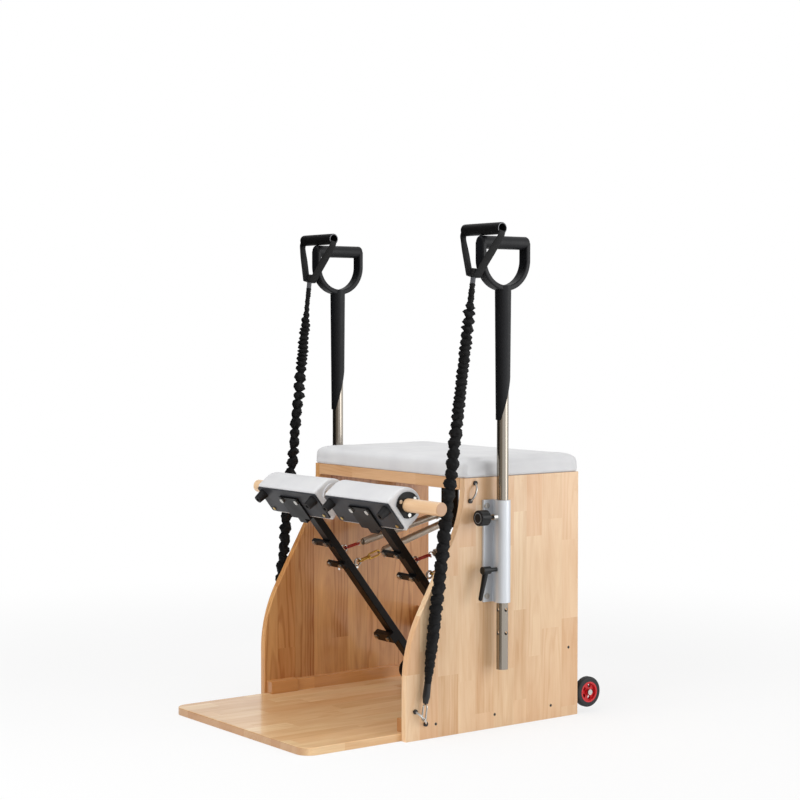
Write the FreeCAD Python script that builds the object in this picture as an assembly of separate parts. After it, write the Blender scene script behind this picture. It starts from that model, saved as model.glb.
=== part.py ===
import FreeCAD, Part
import math
import os

V = FreeCAD.Vector
X_AXIS, Y_AXIS, Z_AXIS = V(1, 0, 0), V(0, 1, 0), V(0, 0, 1)
ORIGIN = V(0, 0, 0)
RIGHT, LEFT = 1, -1
SIDES = {"right": RIGHT, "left": LEFT}

# Driving dimensions, in millimetres and degrees. The front of the chair faces -Y.

# Side panels: laminated boards whose front edge sweeps back up to the seat
chair_width = 622.0
panel_height = 600.0
panel_depth = 528.0
panel_thick = 18.0
seat_setback = 170.0
sweep_drop = 470.0
sweep_top_drop = 19.0
lower_curve_radius = 330.0
upper_curve_radius = 254.0
wood_edge_round = 2.0

# Base board between the panels, with a standing platform in front
board_overhang = 267.0
board_thick = 18.0
board_corner_radius = 35.0

# Cleats that join the panels to the board, and the short blocks in front of them
cleat_height = 28.0
cleat_thick = 20.0
block_height = 31.0
block_thick = 25.0
block_length = 82.0
block_setback = 6.0

# Seat board, rear rails and seat cushion
seat_board_thick = 28.0
rail_thick = 18.0
upper_rail_height = 32.0
lower_rail_height = 60.0
lower_rail_centre_height = 169.0
lower_rail_inset = 21.0
pad_thick = 44.0
pad_overlap = 3.0
pad_corner_radius = 30.0
pad_side_draw = 2.5
pad_foot_inset = 5.0
pad_shoulder_inset = 7.0
pad_crown_inset = 26.0
pad_level_shares = (0.0, 0.16, 0.66, 0.9, 1.0)

# Pedal arms: welded steel, each on its own hub on one fixed axle
pivot_inset = 134.0
pivot_height = 50.0
arm_lean = 38.0
arm_spacing = 300.0
arm_tube_wide = 30.0
arm_tube_deep = 20.0
arm_tube_wall = 2.0
arm_top = 567.5
hub_radius = 23.0
hub_length = 110.0
axle_radius = 12.5
end_cap_radius = 26.0
end_cap_thick = 8.0
pedestal_thick = 30.0
pedestal_radius = 24.0
pedestal_foot_depth = 96.0
pedestal_foot_thick = 10.0
foot_bolt_radius = 4.0
mount_plate_wide = 80.0
mount_plate_thick = 5.0
mount_plate_top = 634.0
mount_plate_lap = 8.5
mount_bolt_inset = 8.5
mount_bolt_drop = 9.5
weld_block_drop = 14.0

# Pedals: plate, timber core and upholstered loaf
pedal_length = 257.5
plate_bottom = 576.0
plate_wide = 77.0
plate_thick = 4.0
plate_front = 27.4
pad_flare = 7.0
pad_flare_depth = 35.4
pad_edge_depth = 8.0
pedal_pad_end_inset = 4.0
pedal_pad_end_round = 6.0
core_margin = 6.0
core_depth = 66.0
core_back_round = 12.0
rod_radius = 16.0
rod_left_reach = 363.0
rod_right_reach = 409.0
rod_end_round = 2.0
rod_back = 15.0
flange_radius = 31.0
flange_thick = 4.0
flange_flat = 25.5
flange_screw_count = 3
bumper_radius = 12.5
bumper_tip_radius = 10.0
bumper_length = 25.0
bumper_bore_radius = 5.0
bumper_bore_depth = 9.0
bumper_inset = 17.0
bolt_head_radius = 6.5
bolt_head_height = 4.0
bolt_radius = 3.5
screw_head_radius = 4.5
screw_head_height = 2.0
screw_radius = 2.2
screw_length = 22.0

# Brackets across the arms, and the eyes that take the springs
bracket_reach = 59.0
bracket_overlap = 4.0
bracket_deep = 8.0
bracket_tall = 16.0
bracket_tip = 10.0
lower_bracket_deep = 14.0
lower_bracket_tall = 26.0
upper_bracket_place = 467.0
middle_bracket_place = 393.0
lower_bracket_place = 143.0
upper_eye_place = 415.0
lower_eye_place = 372.0
eye_hole_radius = 6.0
eye_wire_radius = 2.5
eye_neck = 4.0
spring_spread = 12.0

# Springs, clips and the racks that anchor them
spring_radius = 8.0
spring_wire_radius = 1.5
spring_lead = 12.0
collar_length = 14.0
collar_wall = 1.5
spring_turns = 24
clip_wire_radius = 2.2
clip_half_width = 6.5
upper_clip_length = 44.0
lower_clip_length = 36.0
rack_inset = 40.0
rack_wide = 70.0
rack_thick = 4.0
rack_drop = 147.0
rack_flange = 44.0
rack_bolt_margin = 21.0
rack_bolt_pitch = 18.0
rack_bolt_count = 5
rack_bolt_radius = 3.0
rack_nut_radius = 6.0
rack_nut_length = 8.0

# Poles, their brackets, knobs and clamp levers
pole_radius = 14.0
pole_wall = 2.0
pole_offset = 30.0
pole_back = 262.0
pole_tail = 362.0
pole_top_drop = 137.0
pole_hole_radius = 4.5
pole_hole_pitch = 55.0
pole_hole_count = 6
index_drop = 92.0
bracket_drop = 53.0
bracket_length = 242.0
bracket_wall = 5.0
bracket_flange_thick = 6.0
bracket_flange_half_width = 38.0
bracket_neck_half_width = 10.0
bracket_bolt_spread = 29.0
bracket_bolt_margin = 14.0
knob_radius = 18.5
knob_length = 27.0
knob_face_reach = 75.0
knob_groove_count = 14
knob_groove_radius = 1.8
knob_face_round = 2.5
pin_radius = 4.0
pin_sleeve_radius = 7.5
pin_sleeve_length = 11.0
pin_travel = 8.0
lever_drop = 216.0
lever_hub_radius = 9.0
lever_hub_length = 22.0
lever_hub_reach = 61.0
lever_stem_radius = 5.0
lever_length = 68.0
lever_rake = 14.0
lever_root_radius = 7.0
lever_tip_radius = 5.0

# Moulded D handles on the poles
handle_top = 1167.0
handle_half_width = 73.0
handle_wall = 13.0
handle_depth = 30.0
handle_bow_drop = 55.0
handle_bar_radius = 15.5
handle_bar_round = 7.0
handle_edge_round = 4.0
neck_radius = 19.5
socket_radius = 16.8
socket_rear_end = 852.0
socket_front_end = 736.0
socket_tip_flat = 2.2

# Transport wheels behind the panels
wheel_radius = 37.5
wheel_width = 18.0
wheel_behind = 39.0
wheel_height = 50.0
tyre_thick = 12.0
tyre_round = 5.0
hub_rim_thick = 4.0
hub_web_thick = 6.0
hub_boss_radius = 8.0
hub_window_count = 5
hub_window_radius = 5.0
hub_window_ring = 15.0
wheel_axle_radius = 4.0
wheel_axle_head_radius = 7.0
wheel_axle_head_height = 3.5
wheel_bracket_thick = 5.0
wheel_bracket_reach = 95.0
wheel_bracket_half_height = 19.0

# Resistance bands: eye, hook, end cap, gathered sleeve, plug, strap and grip
band_eye_span = 44.0
band_eye_rise = 14.0
band_eye_wire_radius = 2.5
ferrule_radius = 5.5
ferrule_height = 4.0
upper_eye_back = 195.0
upper_eye_drop = 33.0
upper_eye_tilt = 20.0
lower_eye_back = 41.0
lower_eye_height = 52.0
lower_eye_tilt = 137.0
hook_wire_radius = 2.0
hook_half_width = 7.0
hook_length = 38.0
end_cap_length = 46.0
end_cap_belly_share = 0.35
end_cap_top_radius = 8.0
end_cap_belly_radius = 9.0
end_cap_tip_radius = 6.0
sleeve_low_radius = 12.5
sleeve_mid_radius = 14.5
sleeve_high_radius = 11.5
sleeve_gather_depth = 2.0
sleeve_gather_count = 26
band_tube_radius = 6.0
band_tube_length = 16.0
plug_radius = 9.0
plug_length = 16.0
grip_radius = 14.0
grip_bore_radius = 11.8
grip_length = 138.0
grip_end_round = 2.5
grip_from_bar_end = 13.5
strap_wide = 22.0
strap_thick = 2.0
strap_drop = 110.0
strap_lean_forward = 30.0
strap_foot_half = 13.0

# Screws through the panels
panel_screw_radius = 3.5
panel_screw_length = 34.0
panel_screw_margin = 87.0
panel_screw_count = 3

# Clearances and the overrun of cuts
running_gap = 0.3
shaft_gap = 0.05
overrun = 5.0

# Places worked out from the driving dimensions
half_width = chair_width / 2
inner_half = half_width - panel_thick
footprint_depth = board_overhang + panel_depth + wheel_behind + wheel_radius
front_y = -footprint_depth / 2
panel_front = front_y + board_overhang
panel_back = panel_front + panel_depth
plain_front_height = panel_height - sweep_drop
seat_front = panel_front + seat_setback
seat_under = panel_height - seat_board_thick
pivot = V(0, panel_back - pivot_inset, pivot_height)
arm_turn = FreeCAD.Placement(pivot, FreeCAD.Rotation(X_AXIS, arm_lean))
arm_half = arm_spacing / 2
plate_middle = plate_bottom + plate_wide / 2
rack_y = panel_back - rack_inset
rack_bottom = seat_under - rack_drop
rack_bolt_bottom = rack_bottom + rack_bolt_margin
pole_x = half_width + pole_offset
pole_y = panel_front + pole_back
index_height = panel_height - index_drop
lever_height = panel_height - lever_drop
bracket_top = panel_height - bracket_drop
bracket_bottom = bracket_top - bracket_length
pole_bottom = index_height - pole_tail
pole_top = handle_top - pole_top_drop
handle_bow_height = handle_top - handle_bow_drop
upper_eye_height = panel_height - upper_eye_drop


def span_box(x_span, y_span, z_span):
    """A box from three (low, high) spans."""
    size = [high - low for low, high in (x_span, y_span, z_span)]
    return Part.makeBox(*size, V(x_span[0], y_span[0], z_span[0]))


def rod_between(start, end, radius):
    """A round bar from one point to another."""
    return Part.makeCylinder(radius, (end - start).Length, start, end - start)


def taper_between(start, end, start_radius, end_radius):
    """A round bar that tapers from one radius to another."""
    return Part.makeCone(start_radius, end_radius, (end - start).Length, start, end - start)


def outline(*edges):
    """A flat face from lines and arcs given as point tuples."""
    made = [Part.makeLine(*e) if len(e) == 2 else Part.Arc(*e).toShape() for e in edges]
    return Part.Face(Part.Wire(Part.__sortEdges__(made)))


def polygon(points):
    """A flat face with straight sides."""
    return Part.Face(Part.makePolygon(points + points[:1]))


def arc_edge(start, corner, end):
    """The round bend that leaves start and reaches end tangent to the two legs through corner."""
    chord_half = (end - start).Length / 2
    weight = chord_half / (corner - start).Length
    middle = (start + corner * (2 * weight) + end) * (1 / (2 + 2 * weight))
    return Part.Arc(start, middle, end).toShape()


def biarc(start, start_way, end, end_way):
    """Two tangent arcs between two points with given directions."""
    gap = end - start
    ways = start_way + end_way
    spread = 1 - start_way.dot(end_way)
    along = gap.dot(ways)
    reach = (math.sqrt(along ** 2 + 2 * spread * gap.dot(gap)) - along) / (2 * spread)
    first, second = start + start_way * reach, end - end_way * reach
    meet = (first + second) * 0.5
    return [arc_edge(start, first, meet), arc_edge(meet, second, end)]


def pipe(edges, radius, way):
    """A round bar along joined edges, starting in the given direction."""
    wire = Part.Wire(edges)
    start = edges[0].firstVertex(True).Point
    ring = Part.Wire(Part.makeCircle(radius, start, way))
    return wire.makePipeShell([ring], True, False)


def link(start, end, half_width, wire_radius, across):
    """A closed oval wire link from start to end, lying in the plane of its length and across."""
    way = (end - start).normalize()
    side = (across - way * across.dot(way)).normalize()
    near, far = start + way * half_width, end - way * half_width
    edges = [
        Part.makeLine(near + side * half_width, far + side * half_width),
        Part.Arc(far + side * half_width, end, far - side * half_width).toShape(),
        Part.makeLine(far - side * half_width, near - side * half_width),
        Part.Arc(near - side * half_width, start, near + side * half_width).toShape(),
    ]
    return pipe(edges, wire_radius, way)


def bored(shape, cutters):
    """The shape with every cutter taken out."""
    return shape.cut(Part.makeCompound(cutters)) if cutters else shape


def on_arm(shapes, x):
    """Pieces drawn upright about the pivot, leaned to the arm's place at rest and set at x."""
    moved = []
    for shape in shapes:
        shape = shape.copy()
        shape.Placement = FreeCAD.Placement(V(x, 0, 0), FreeCAD.Rotation()) * arm_turn * shape.Placement
        moved.append(shape)
    return moved


def arm_point(x, place, back):
    """The point at rest that lies at a place up the arm and that far behind its centre line."""
    return V(x, 0, 0) + arm_turn.multVec(V(0, back, place))


def mirrored(shapes, side):
    """Pieces drawn for the right side, mirrored for the left one."""
    if side == RIGHT:
        return list(shapes)
    return [shape.mirror(ORIGIN, X_AXIS) for shape in shapes]


def save(node, shapes):
    """One file per node, with each piece in it a separate solid."""
    solids = [solid for shape in shapes for solid in shape.Solids]
    for solid in solids:
        if not solid.isValid():
            print("not valid:", node)
    Part.makeCompound(solids).exportStep("parts/" + node + ".step")


# Fasteners of the frame are gathered here as they are met
frame_fasteners = []


def panel_screws():
    """Long screws through the right panel into the cleat, the seat board and the rear rails."""
    pitch = (panel_depth - 2 * panel_screw_margin) / (panel_screw_count - 1)
    cleat_screws = [
        (panel_front + panel_screw_margin + pitch * n, board_thick + cleat_height / 2)
        for n in range(panel_screw_count)
    ]
    seat_screws = [
        (seat_front + (panel_back - seat_front) * (n + 1) / (panel_screw_count + 1),
         panel_height - seat_board_thick / 2)
        for n in range(panel_screw_count)
    ]
    rail_screws = [
        (panel_back - lower_rail_inset - rail_thick / 2, lower_rail_centre_height),
        (panel_back - rail_thick / 2, seat_under - upper_rail_height / 2),
    ]
    return cleat_screws + seat_screws + rail_screws


def screw_bars(radius):
    """The panel screws of the right side as round bars of one radius."""
    return [
        Part.makeCylinder(radius, panel_screw_length, V(half_width, y, z), -X_AXIS)
        for y, z in panel_screws()
    ]


screw_cuts = screw_bars(panel_screw_radius + shaft_gap)
for side in SIDES.values():
    frame_fasteners += mirrored(screw_bars(panel_screw_radius), side)


def bracket_bolt_places():
    """Where the four bolts of the right pole bracket stand on its flange."""
    heights = (bracket_bottom + bracket_bolt_margin, bracket_top - bracket_bolt_margin)
    return [V(half_width, pole_y + s * bracket_bolt_spread, z) for z in heights for s in (-1, 1)]


def bracket_bolt_bars(radius):
    """Shanks of the bracket bolts, from the back of the panel to the top of the flange."""
    depth = panel_thick + bracket_flange_thick
    back = V(panel_thick, 0, 0)
    return [Part.makeCylinder(radius, depth, p - back, X_AXIS) for p in bracket_bolt_places()]


def wheel_screw_places():
    """Where the two screws of the right wheel bracket go into the panel."""
    first = panel_back + wheel_behind - wheel_bracket_reach + wheel_bracket_half_height
    last = panel_back - wheel_bracket_half_height
    return [V(inner_half, y, wheel_height) for y in (first, last)]


def wheel_screw_bars(radius):
    """Shanks of the wheel bracket screws, into the panel from inside."""
    depth = wheel_bracket_thick + panel_thick / 2
    front = V(wheel_bracket_thick, 0, 0)
    return [Part.makeCylinder(radius, depth, p - front, X_AXIS) for p in wheel_screw_places()]


def sweep_lean():
    """Lean of the straight between the panel's two bends, from the rise and setback they share."""
    rise = sweep_drop - sweep_top_drop
    both_radii = lower_curve_radius + upper_curve_radius
    spare = both_radii - seat_setback
    return math.asin(both_radii / math.hypot(rise, spare)) - math.atan2(spare, rise)


def side_panel():
    """The right panel: plain foot, a round sweep back, a straight lean and a round return."""
    lean = sweep_lean()
    half_lean = lean / 2

    def at(y, z):
        return V(inner_half, panel_front + y, z)

    low = at(0, plain_front_height)
    bend_end = at(lower_curve_radius * (1 - math.cos(lean)),
                  plain_front_height + lower_curve_radius * math.sin(lean))
    bend_middle = at(lower_curve_radius * (1 - math.cos(half_lean)),
                     plain_front_height + lower_curve_radius * math.sin(half_lean))
    top_z = panel_height - sweep_top_drop
    return_start = at(seat_setback - upper_curve_radius * (1 - math.cos(lean)),
                      top_z - upper_curve_radius * math.sin(lean))
    return_middle = at(seat_setback - upper_curve_radius * (1 - math.cos(half_lean)),
                       top_z - upper_curve_radius * math.sin(half_lean))
    return_end = at(seat_setback, top_z)
    face = outline(
        (at(0, 0), low),
        (low, bend_middle, bend_end),
        (bend_end, return_start),
        (return_start, return_middle, return_end),
        (return_end, at(seat_setback, panel_height)),
        (at(seat_setback, panel_height), at(panel_depth, panel_height)),
        (at(panel_depth, panel_height), at(panel_depth, 0)),
        (at(panel_depth, 0), at(0, 0)),
    )
    panel = face.extrude(X_AXIS * panel_thick)
    rims = [e for e in panel.Edges if abs(e.firstVertex().X - e.lastVertex().X) < shaft_gap]
    front_rims = [e for e in rims if e.CenterOfMass.y < seat_front + shaft_gap]
    panel = panel.makeFillet(wood_edge_round, front_rims)
    cuts = screw_cuts + bracket_bolt_bars(bolt_radius + shaft_gap)
    return bored(panel, cuts + wheel_screw_bars(screw_radius + shaft_gap))


def base_board():
    """The board on the floor, with two round front corners and eased top edges in front."""
    x, y0, y1, r = inner_half, front_y, panel_back, board_corner_radius
    bend = r * (1 - math.cos(math.radians(45)))
    face = outline(
        (V(-x + r, y0, 0), V(x - r, y0, 0)),
        (V(x - r, y0, 0), V(x - bend, y0 + bend, 0), V(x, y0 + r, 0)),
        (V(x, y0 + r, 0), V(x, y1, 0)),
        (V(x, y1, 0), V(-x, y1, 0)),
        (V(-x, y1, 0), V(-x, y0 + r, 0)),
        (V(-x, y0 + r, 0), V(-x + bend, y0 + bend, 0), V(-x + r, y0, 0)),
    )
    board = face.extrude(Z_AXIS * board_thick)
    rims = [e for e in board.Edges if e.CenterOfMass.z > board_thick - shaft_gap
            and e.CenterOfMass.y < panel_back - shaft_gap]
    return bored(board.makeFillet(wood_edge_round, rims), foot_bolt_bars(foot_bolt_radius + shaft_gap))


def pedestal_x():
    """The middle of the right pedestal, just inside the hub that it carries."""
    return arm_half - hub_length / 2 - running_gap - pedestal_thick / 2


def foot_bolt_bars(radius):
    """Bolts through the pedestal feet into the board."""
    reach = (pedestal_foot_depth + 2 * pedestal_radius) / 4
    bars = []
    for side in SIDES.values():
        for way in (-1, 1):
            top = V(side * pedestal_x(), pivot.y + way * reach, board_thick + pedestal_foot_thick)
            bars.append(Part.makeCylinder(radius, board_thick / 2 + pedestal_foot_thick, top, -Z_AXIS))
    return bars


def pedestals():
    """Two bearing blocks on the board that hold the axle."""
    made = []
    for side in SIDES.values():
        x0 = side * pedestal_x() - pedestal_thick / 2
        centre = V(x0, pivot.y, pivot_height)
        head = Part.makeCylinder(pedestal_radius, pedestal_thick, centre, X_AXIS)
        x_span = (x0, x0 + pedestal_thick)
        stem_span = (pivot.y - pedestal_radius, pivot.y + pedestal_radius)
        stem = span_box(x_span, stem_span, (board_thick, pivot_height))
        foot_span = (pivot.y - pedestal_foot_depth / 2, pivot.y + pedestal_foot_depth / 2)
        foot = span_box(x_span, foot_span, (board_thick, board_thick + pedestal_foot_thick))
        cuts = [axle(axle_radius + shaft_gap)] + foot_bolt_bars(foot_bolt_radius + shaft_gap)
        made.append(bored(head.fuse([stem, foot]).removeSplitter(), cuts))
    return made


def axle(radius):
    """The fixed bar that both hubs turn on."""
    reach = arm_half + hub_length / 2 + running_gap
    return Part.makeCylinder(radius, 2 * reach, V(-reach, pivot.y, pivot_height), X_AXIS)


def axle_caps():
    """Round caps that close the two ends of the axle."""
    reach = arm_half + hub_length / 2 + running_gap
    cap = Part.makeCylinder(end_cap_radius, end_cap_thick, V(reach, pivot.y, pivot_height), X_AXIS)
    rim = [e for e in cap.Edges if e.CenterOfMass.x > reach + shaft_gap and e.isClosed()]
    cap = cap.makeFillet(end_cap_thick / 4, rim)
    return mirrored([cap], RIGHT) + mirrored([cap], LEFT)


def cleats():
    """Long cleats beside the panels and a thicker short block in front of each."""
    made = []
    block_front = panel_front + block_setback
    block_back = block_front + block_length
    for side in SIDES.values():
        block = span_box((inner_half - block_thick, inner_half), (block_front, block_back),
                         (board_thick, board_thick + block_height))
        rims = [e for e in block.Edges if e.CenterOfMass.x < inner_half - shaft_gap]
        block = block.makeFillet(wood_edge_round / 2, rims)
        cleat = span_box((inner_half - cleat_thick, inner_half), (block_back, panel_back),
                         (board_thick, board_thick + cleat_height))
        made += mirrored([bored(block, screw_cuts), bored(cleat, screw_cuts)], side)
    return made


def across_cuts():
    """The screws of both sides, for the pieces that run from panel to panel."""
    return screw_cuts + mirrored(screw_cuts, LEFT)


def seat_board():
    """The thick board between the panels that carries the cushion."""
    board = span_box((-inner_half, inner_half), (seat_front, panel_back), (seat_under, panel_height))
    rims = [e for e in board.Edges if e.CenterOfMass.y < seat_front + shaft_gap
            and abs(e.CenterOfMass.x) < shaft_gap]
    return bored(board.makeFillet(wood_edge_round, rims), across_cuts())


def rear_rails():
    """Two rails across the back: one under the seat and one lower down."""
    upper = span_box((-inner_half, inner_half), (panel_back - rail_thick, panel_back),
                     (seat_under - upper_rail_height, seat_under))
    low_back = panel_back - lower_rail_inset
    low = lower_rail_centre_height - lower_rail_height / 2
    lower = span_box((-inner_half, inner_half), (low_back - rail_thick, low_back),
                     (low, low + lower_rail_height))
    return [bored(upper, across_cuts()), bored(lower, across_cuts())]


def cushion_ring(inset, z):
    """The cushion's plan at one level: round corners and sides that draw in between them."""
    x = half_width + pad_overlap - inset
    y0, y1 = seat_front - pad_overlap + inset, panel_back + pad_overlap - inset
    r = pad_corner_radius
    draw = pad_side_draw
    bend = r * (1 - math.cos(math.radians(45)))
    middle = (y0 + y1) / 2
    edges = [
        (V(-x + r, y0, z), V(0, y0 + draw, z), V(x - r, y0, z)),
        (V(x - r, y0, z), V(x - bend, y0 + bend, z), V(x, y0 + r, z)),
        (V(x, y0 + r, z), V(x - draw, middle, z), V(x, y1 - r, z)),
        (V(x, y1 - r, z), V(x - bend, y1 - bend, z), V(x - r, y1, z)),
        (V(x - r, y1, z), V(0, y1 - draw, z), V(-x + r, y1, z)),
        (V(-x + r, y1, z), V(-x + bend, y1 - bend, z), V(-x, y1 - r, z)),
        (V(-x, y1 - r, z), V(-x + draw, middle, z), V(-x, y0 + r, z)),
        (V(-x, y0 + r, z), V(-x + bend, y0 + bend, z), V(-x + r, y0, z)),
    ]
    return Part.Wire([Part.Arc(*e).toShape() for e in edges])


def seat_pad():
    """The seat cushion: drawn in at the foot, full at the sides, round shouldered and crowned."""
    insets = (pad_foot_inset, 0, 0, pad_shoulder_inset, pad_crown_inset)
    rings = [
        cushion_ring(inset, panel_height + pad_thick * share)
        for inset, share in zip(insets, pad_level_shares)
    ]
    return Part.makeLoft(rings, True, True)


def arm():
    """Hub, box tube, weld block and the plate that carries the pedal, drawn upright at x 0."""
    front = -arm_tube_deep / 2
    hub = Part.makeCylinder(hub_radius, hub_length, V(-hub_length / 2, 0, 0), X_AXIS)
    tube = span_box((-arm_tube_wide / 2, arm_tube_wide / 2), (front, -front), (0, arm_top))
    rims = [e for e in tube.Edges if e.Length > arm_top / 2]
    tube = tube.makeFillet(arm_tube_wall, rims)
    plate_span = (-plate_front - mount_plate_thick, -plate_front)
    block = span_box((-arm_tube_wide / 2, arm_tube_wide / 2), (plate_span[0], front + arm_tube_wall),
                     (arm_top - weld_block_drop, arm_top))
    plate = span_box((-mount_plate_wide / 2, mount_plate_wide / 2), plate_span,
                     (plate_bottom - mount_plate_lap, mount_plate_top))
    bore = Part.makeCylinder(axle_radius + shaft_gap, hub_length + 2 * overrun,
                             V(-hub_length / 2 - overrun, 0, 0), X_AXIS)
    hollow_x = arm_tube_wide / 2 - arm_tube_wall
    hollow_y = arm_tube_deep / 2 - arm_tube_wall
    hollow = span_box((-hollow_x, hollow_x), (-hollow_y, hollow_y), (hub_radius, arm_top + overrun))
    solid = hub.fuse([tube, block, plate] + spring_eyes()).removeSplitter()
    return bored(solid, [bore, hollow] + mount_bolt_bars(bolt_radius + shaft_gap) + tube_bolts(shaft_gap))


def mount_bolt_places():
    """The two bolts at the top of the mounting plate."""
    reach = mount_plate_wide / 2 - mount_bolt_inset
    height = mount_plate_top - mount_bolt_drop
    return [V(side * reach, -plate_front - mount_plate_thick, height) for side in SIDES.values()]


def mount_bolt_bars(radius):
    """Shanks through the mounting plate and the pedal plate into the core."""
    return [Part.makeCylinder(radius, screw_length, p, Y_AXIS) for p in mount_bolt_places()]


def bracket_bolt_rows():
    """Bolt places along each arm bracket: at its tip and on the tube."""
    rows = []
    for place, deep in (
        (upper_bracket_place, bracket_deep),
        (middle_bracket_place, bracket_deep),
        (lower_bracket_place, lower_bracket_deep),
    ):
        front = -arm_tube_deep / 2 - deep
        for x in (-bracket_reach + bracket_tip, 0):
            rows.append((V(x, front, place), deep))
    return rows


def tube_bolts(gap):
    """Shanks of the bracket bolts, into the front wall of the tube where they meet it."""
    return [
        Part.makeCylinder(bolt_radius + gap, deep + arm_tube_deep / 4, p, Y_AXIS)
        for p, deep in bracket_bolt_rows()
    ]


def arm_brackets():
    """Three flat bars bolted across the front of the tube, with a bevelled free end."""
    made = []
    for place, deep, tall in (
        (upper_bracket_place, bracket_deep, bracket_tall),
        (middle_bracket_place, bracket_deep, bracket_tall),
        (lower_bracket_place, lower_bracket_deep, lower_bracket_tall),
    ):
        front = -arm_tube_deep / 2 - deep
        end = arm_tube_wide / 2 + bracket_overlap
        half = tall / 2
        bevel = tall / 4
        points = [
            V(end, front, place - half), V(end, front, place + half),
            V(-bracket_reach + bevel, front, place + half), V(-bracket_reach, front, place + half - bevel),
            V(-bracket_reach, front, place - half + bevel), V(-bracket_reach + bevel, front, place - half),
        ]
        made.append(bored(polygon(points).extrude(Y_AXIS * deep), tube_bolts(shaft_gap)))
    return made


def spring_eyes():
    """Round eyes welded behind the tube, each on a short neck, for the spring clips."""
    made = []
    reach = arm_tube_deep / 2 + eye_neck + eye_hole_radius + eye_wire_radius
    ring_radius = eye_hole_radius + eye_wire_radius
    for place, x in ((upper_eye_place, -spring_spread), (lower_eye_place, spring_spread)):
        ring = Part.makeTorus(ring_radius, eye_wire_radius, V(x, reach, place), X_AXIS)
        neck_end = V(x, reach - eye_hole_radius - eye_wire_radius, place)
        neck_start = V(x, arm_tube_deep / 2 - arm_tube_wall, place)
        made.append(ring.fuse(rod_between(neck_start, neck_end, eye_wire_radius)))
    return made


def eye_centre(x, place):
    """The middle of a spring eye at rest."""
    reach = arm_tube_deep / 2 + eye_neck + eye_hole_radius + eye_wire_radius
    return arm_point(x, place, reach)


def pedal_plate():
    """The flat steel plate under the pedal."""
    half = pedal_length / 2
    plate = span_box((-half, half), (-plate_front, -plate_front + plate_thick),
                     (plate_bottom, plate_bottom + plate_wide))
    rims = [e for e in plate.Edges if abs(e.Length - plate_thick) < shaft_gap]
    plate = plate.makeFillet(plate_thick, rims)
    cuts = mount_bolt_bars(bolt_radius + shaft_gap) + plate_screw_bars(screw_radius + shaft_gap)
    return bored(plate, cuts)


def plate_screw_bars(radius):
    """The two screws at the lower corners of the plate."""
    inset = pedal_length / 2 - bumper_inset
    height = plate_bottom + screw_head_radius * 2
    return [
        Part.makeCylinder(radius, screw_length, V(side * inset, -plate_front, height), Y_AXIS)
        for side in SIDES.values()
    ]


def flange_screw_places(x):
    """The screws around the rod on one end flange."""
    ring = (flange_radius + rod_radius) / 2
    places = []
    for n in range(flange_screw_count):
        turn = math.radians(360 * n / flange_screw_count)
        places.append(V(x, rod_back + ring * math.cos(turn), plate_middle + ring * math.sin(turn)))
    return places


def flange_screw_bars(radius):
    """Shanks of the flange screws at both ends of the pedal."""
    bars = []
    end = pedal_length / 2 + flange_thick
    for side in SIDES.values():
        for p in flange_screw_places(side * end):
            bars.append(Part.makeCylinder(radius, screw_length, p, X_AXIS * -side))
    return bars


def rod_bore(radius):
    """A round hole for the rod, through the whole pedal."""
    reach = pedal_length / 2 + flange_thick + overrun
    return Part.makeCylinder(radius, 2 * reach, V(-reach, rod_back, plate_middle), X_AXIS)


def pedal_core():
    """The timber block inside the upholstery that takes the screws."""
    half_x = pedal_length / 2 - core_margin
    half_z = plate_wide / 2 - core_margin
    front = -plate_front + plate_thick
    block = span_box((-half_x, half_x), (front, front + core_depth),
                     (plate_middle - half_z, plate_middle + half_z))
    back = [e for e in block.Edges if e.Length > half_x and e.CenterOfMass.y > front + core_depth / 2]
    return block.makeFillet(core_back_round, back)


def loaf_ring(x, inset):
    """The pedal's section: flat on the plate, edges that stand out past it, and a round back."""
    front = -plate_front + plate_thick
    half = plate_wide / 2 - inset
    round_radius = plate_wide / 2 + pad_flare - inset
    middle = front + pad_flare_depth
    bend = round_radius * math.cos(math.radians(45))

    def at(y, z):
        return V(x, y, plate_middle + z)

    back = at(middle + round_radius, 0)
    edges = [
        Part.makeLine(at(front, -half), at(front, half)),
        Part.makeLine(at(front, half), at(front + pad_edge_depth, round_radius)),
        Part.makeLine(at(front + pad_edge_depth, round_radius), at(middle, round_radius)),
        Part.Arc(at(middle, round_radius), at(middle + bend, bend), back).toShape(),
        Part.Arc(back, at(middle + bend, -bend), at(middle, -round_radius)).toShape(),
        Part.makeLine(at(middle, -round_radius), at(front + pad_edge_depth, -round_radius)),
        Part.makeLine(at(front + pad_edge_depth, -round_radius), at(front, -half)),
    ]
    return Part.Wire(edges)


def pedal_pad():
    """The upholstered loaf round the core, a little drawn in at its ends."""
    half = pedal_length / 2
    near = half - pedal_pad_end_round
    rings = [
        loaf_ring(-half, pedal_pad_end_inset), loaf_ring(-near, 0),
        loaf_ring(near, 0), loaf_ring(half, pedal_pad_end_inset),
    ]
    loaf = Part.makeLoft(rings, True, True)
    cuts = [pedal_core(), rod_bore(rod_radius + running_gap)]
    return bored(loaf, cuts + flange_screw_bars(screw_radius + shaft_gap))


def bored_core():
    """The core with its rod hole and screw holes."""
    cuts = [rod_bore(rod_radius + running_gap)] + mount_bolt_bars(bolt_radius + shaft_gap)
    cuts += plate_screw_bars(screw_radius + shaft_gap) + flange_screw_bars(screw_radius + shaft_gap)
    return bored(pedal_core(), cuts)


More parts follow.
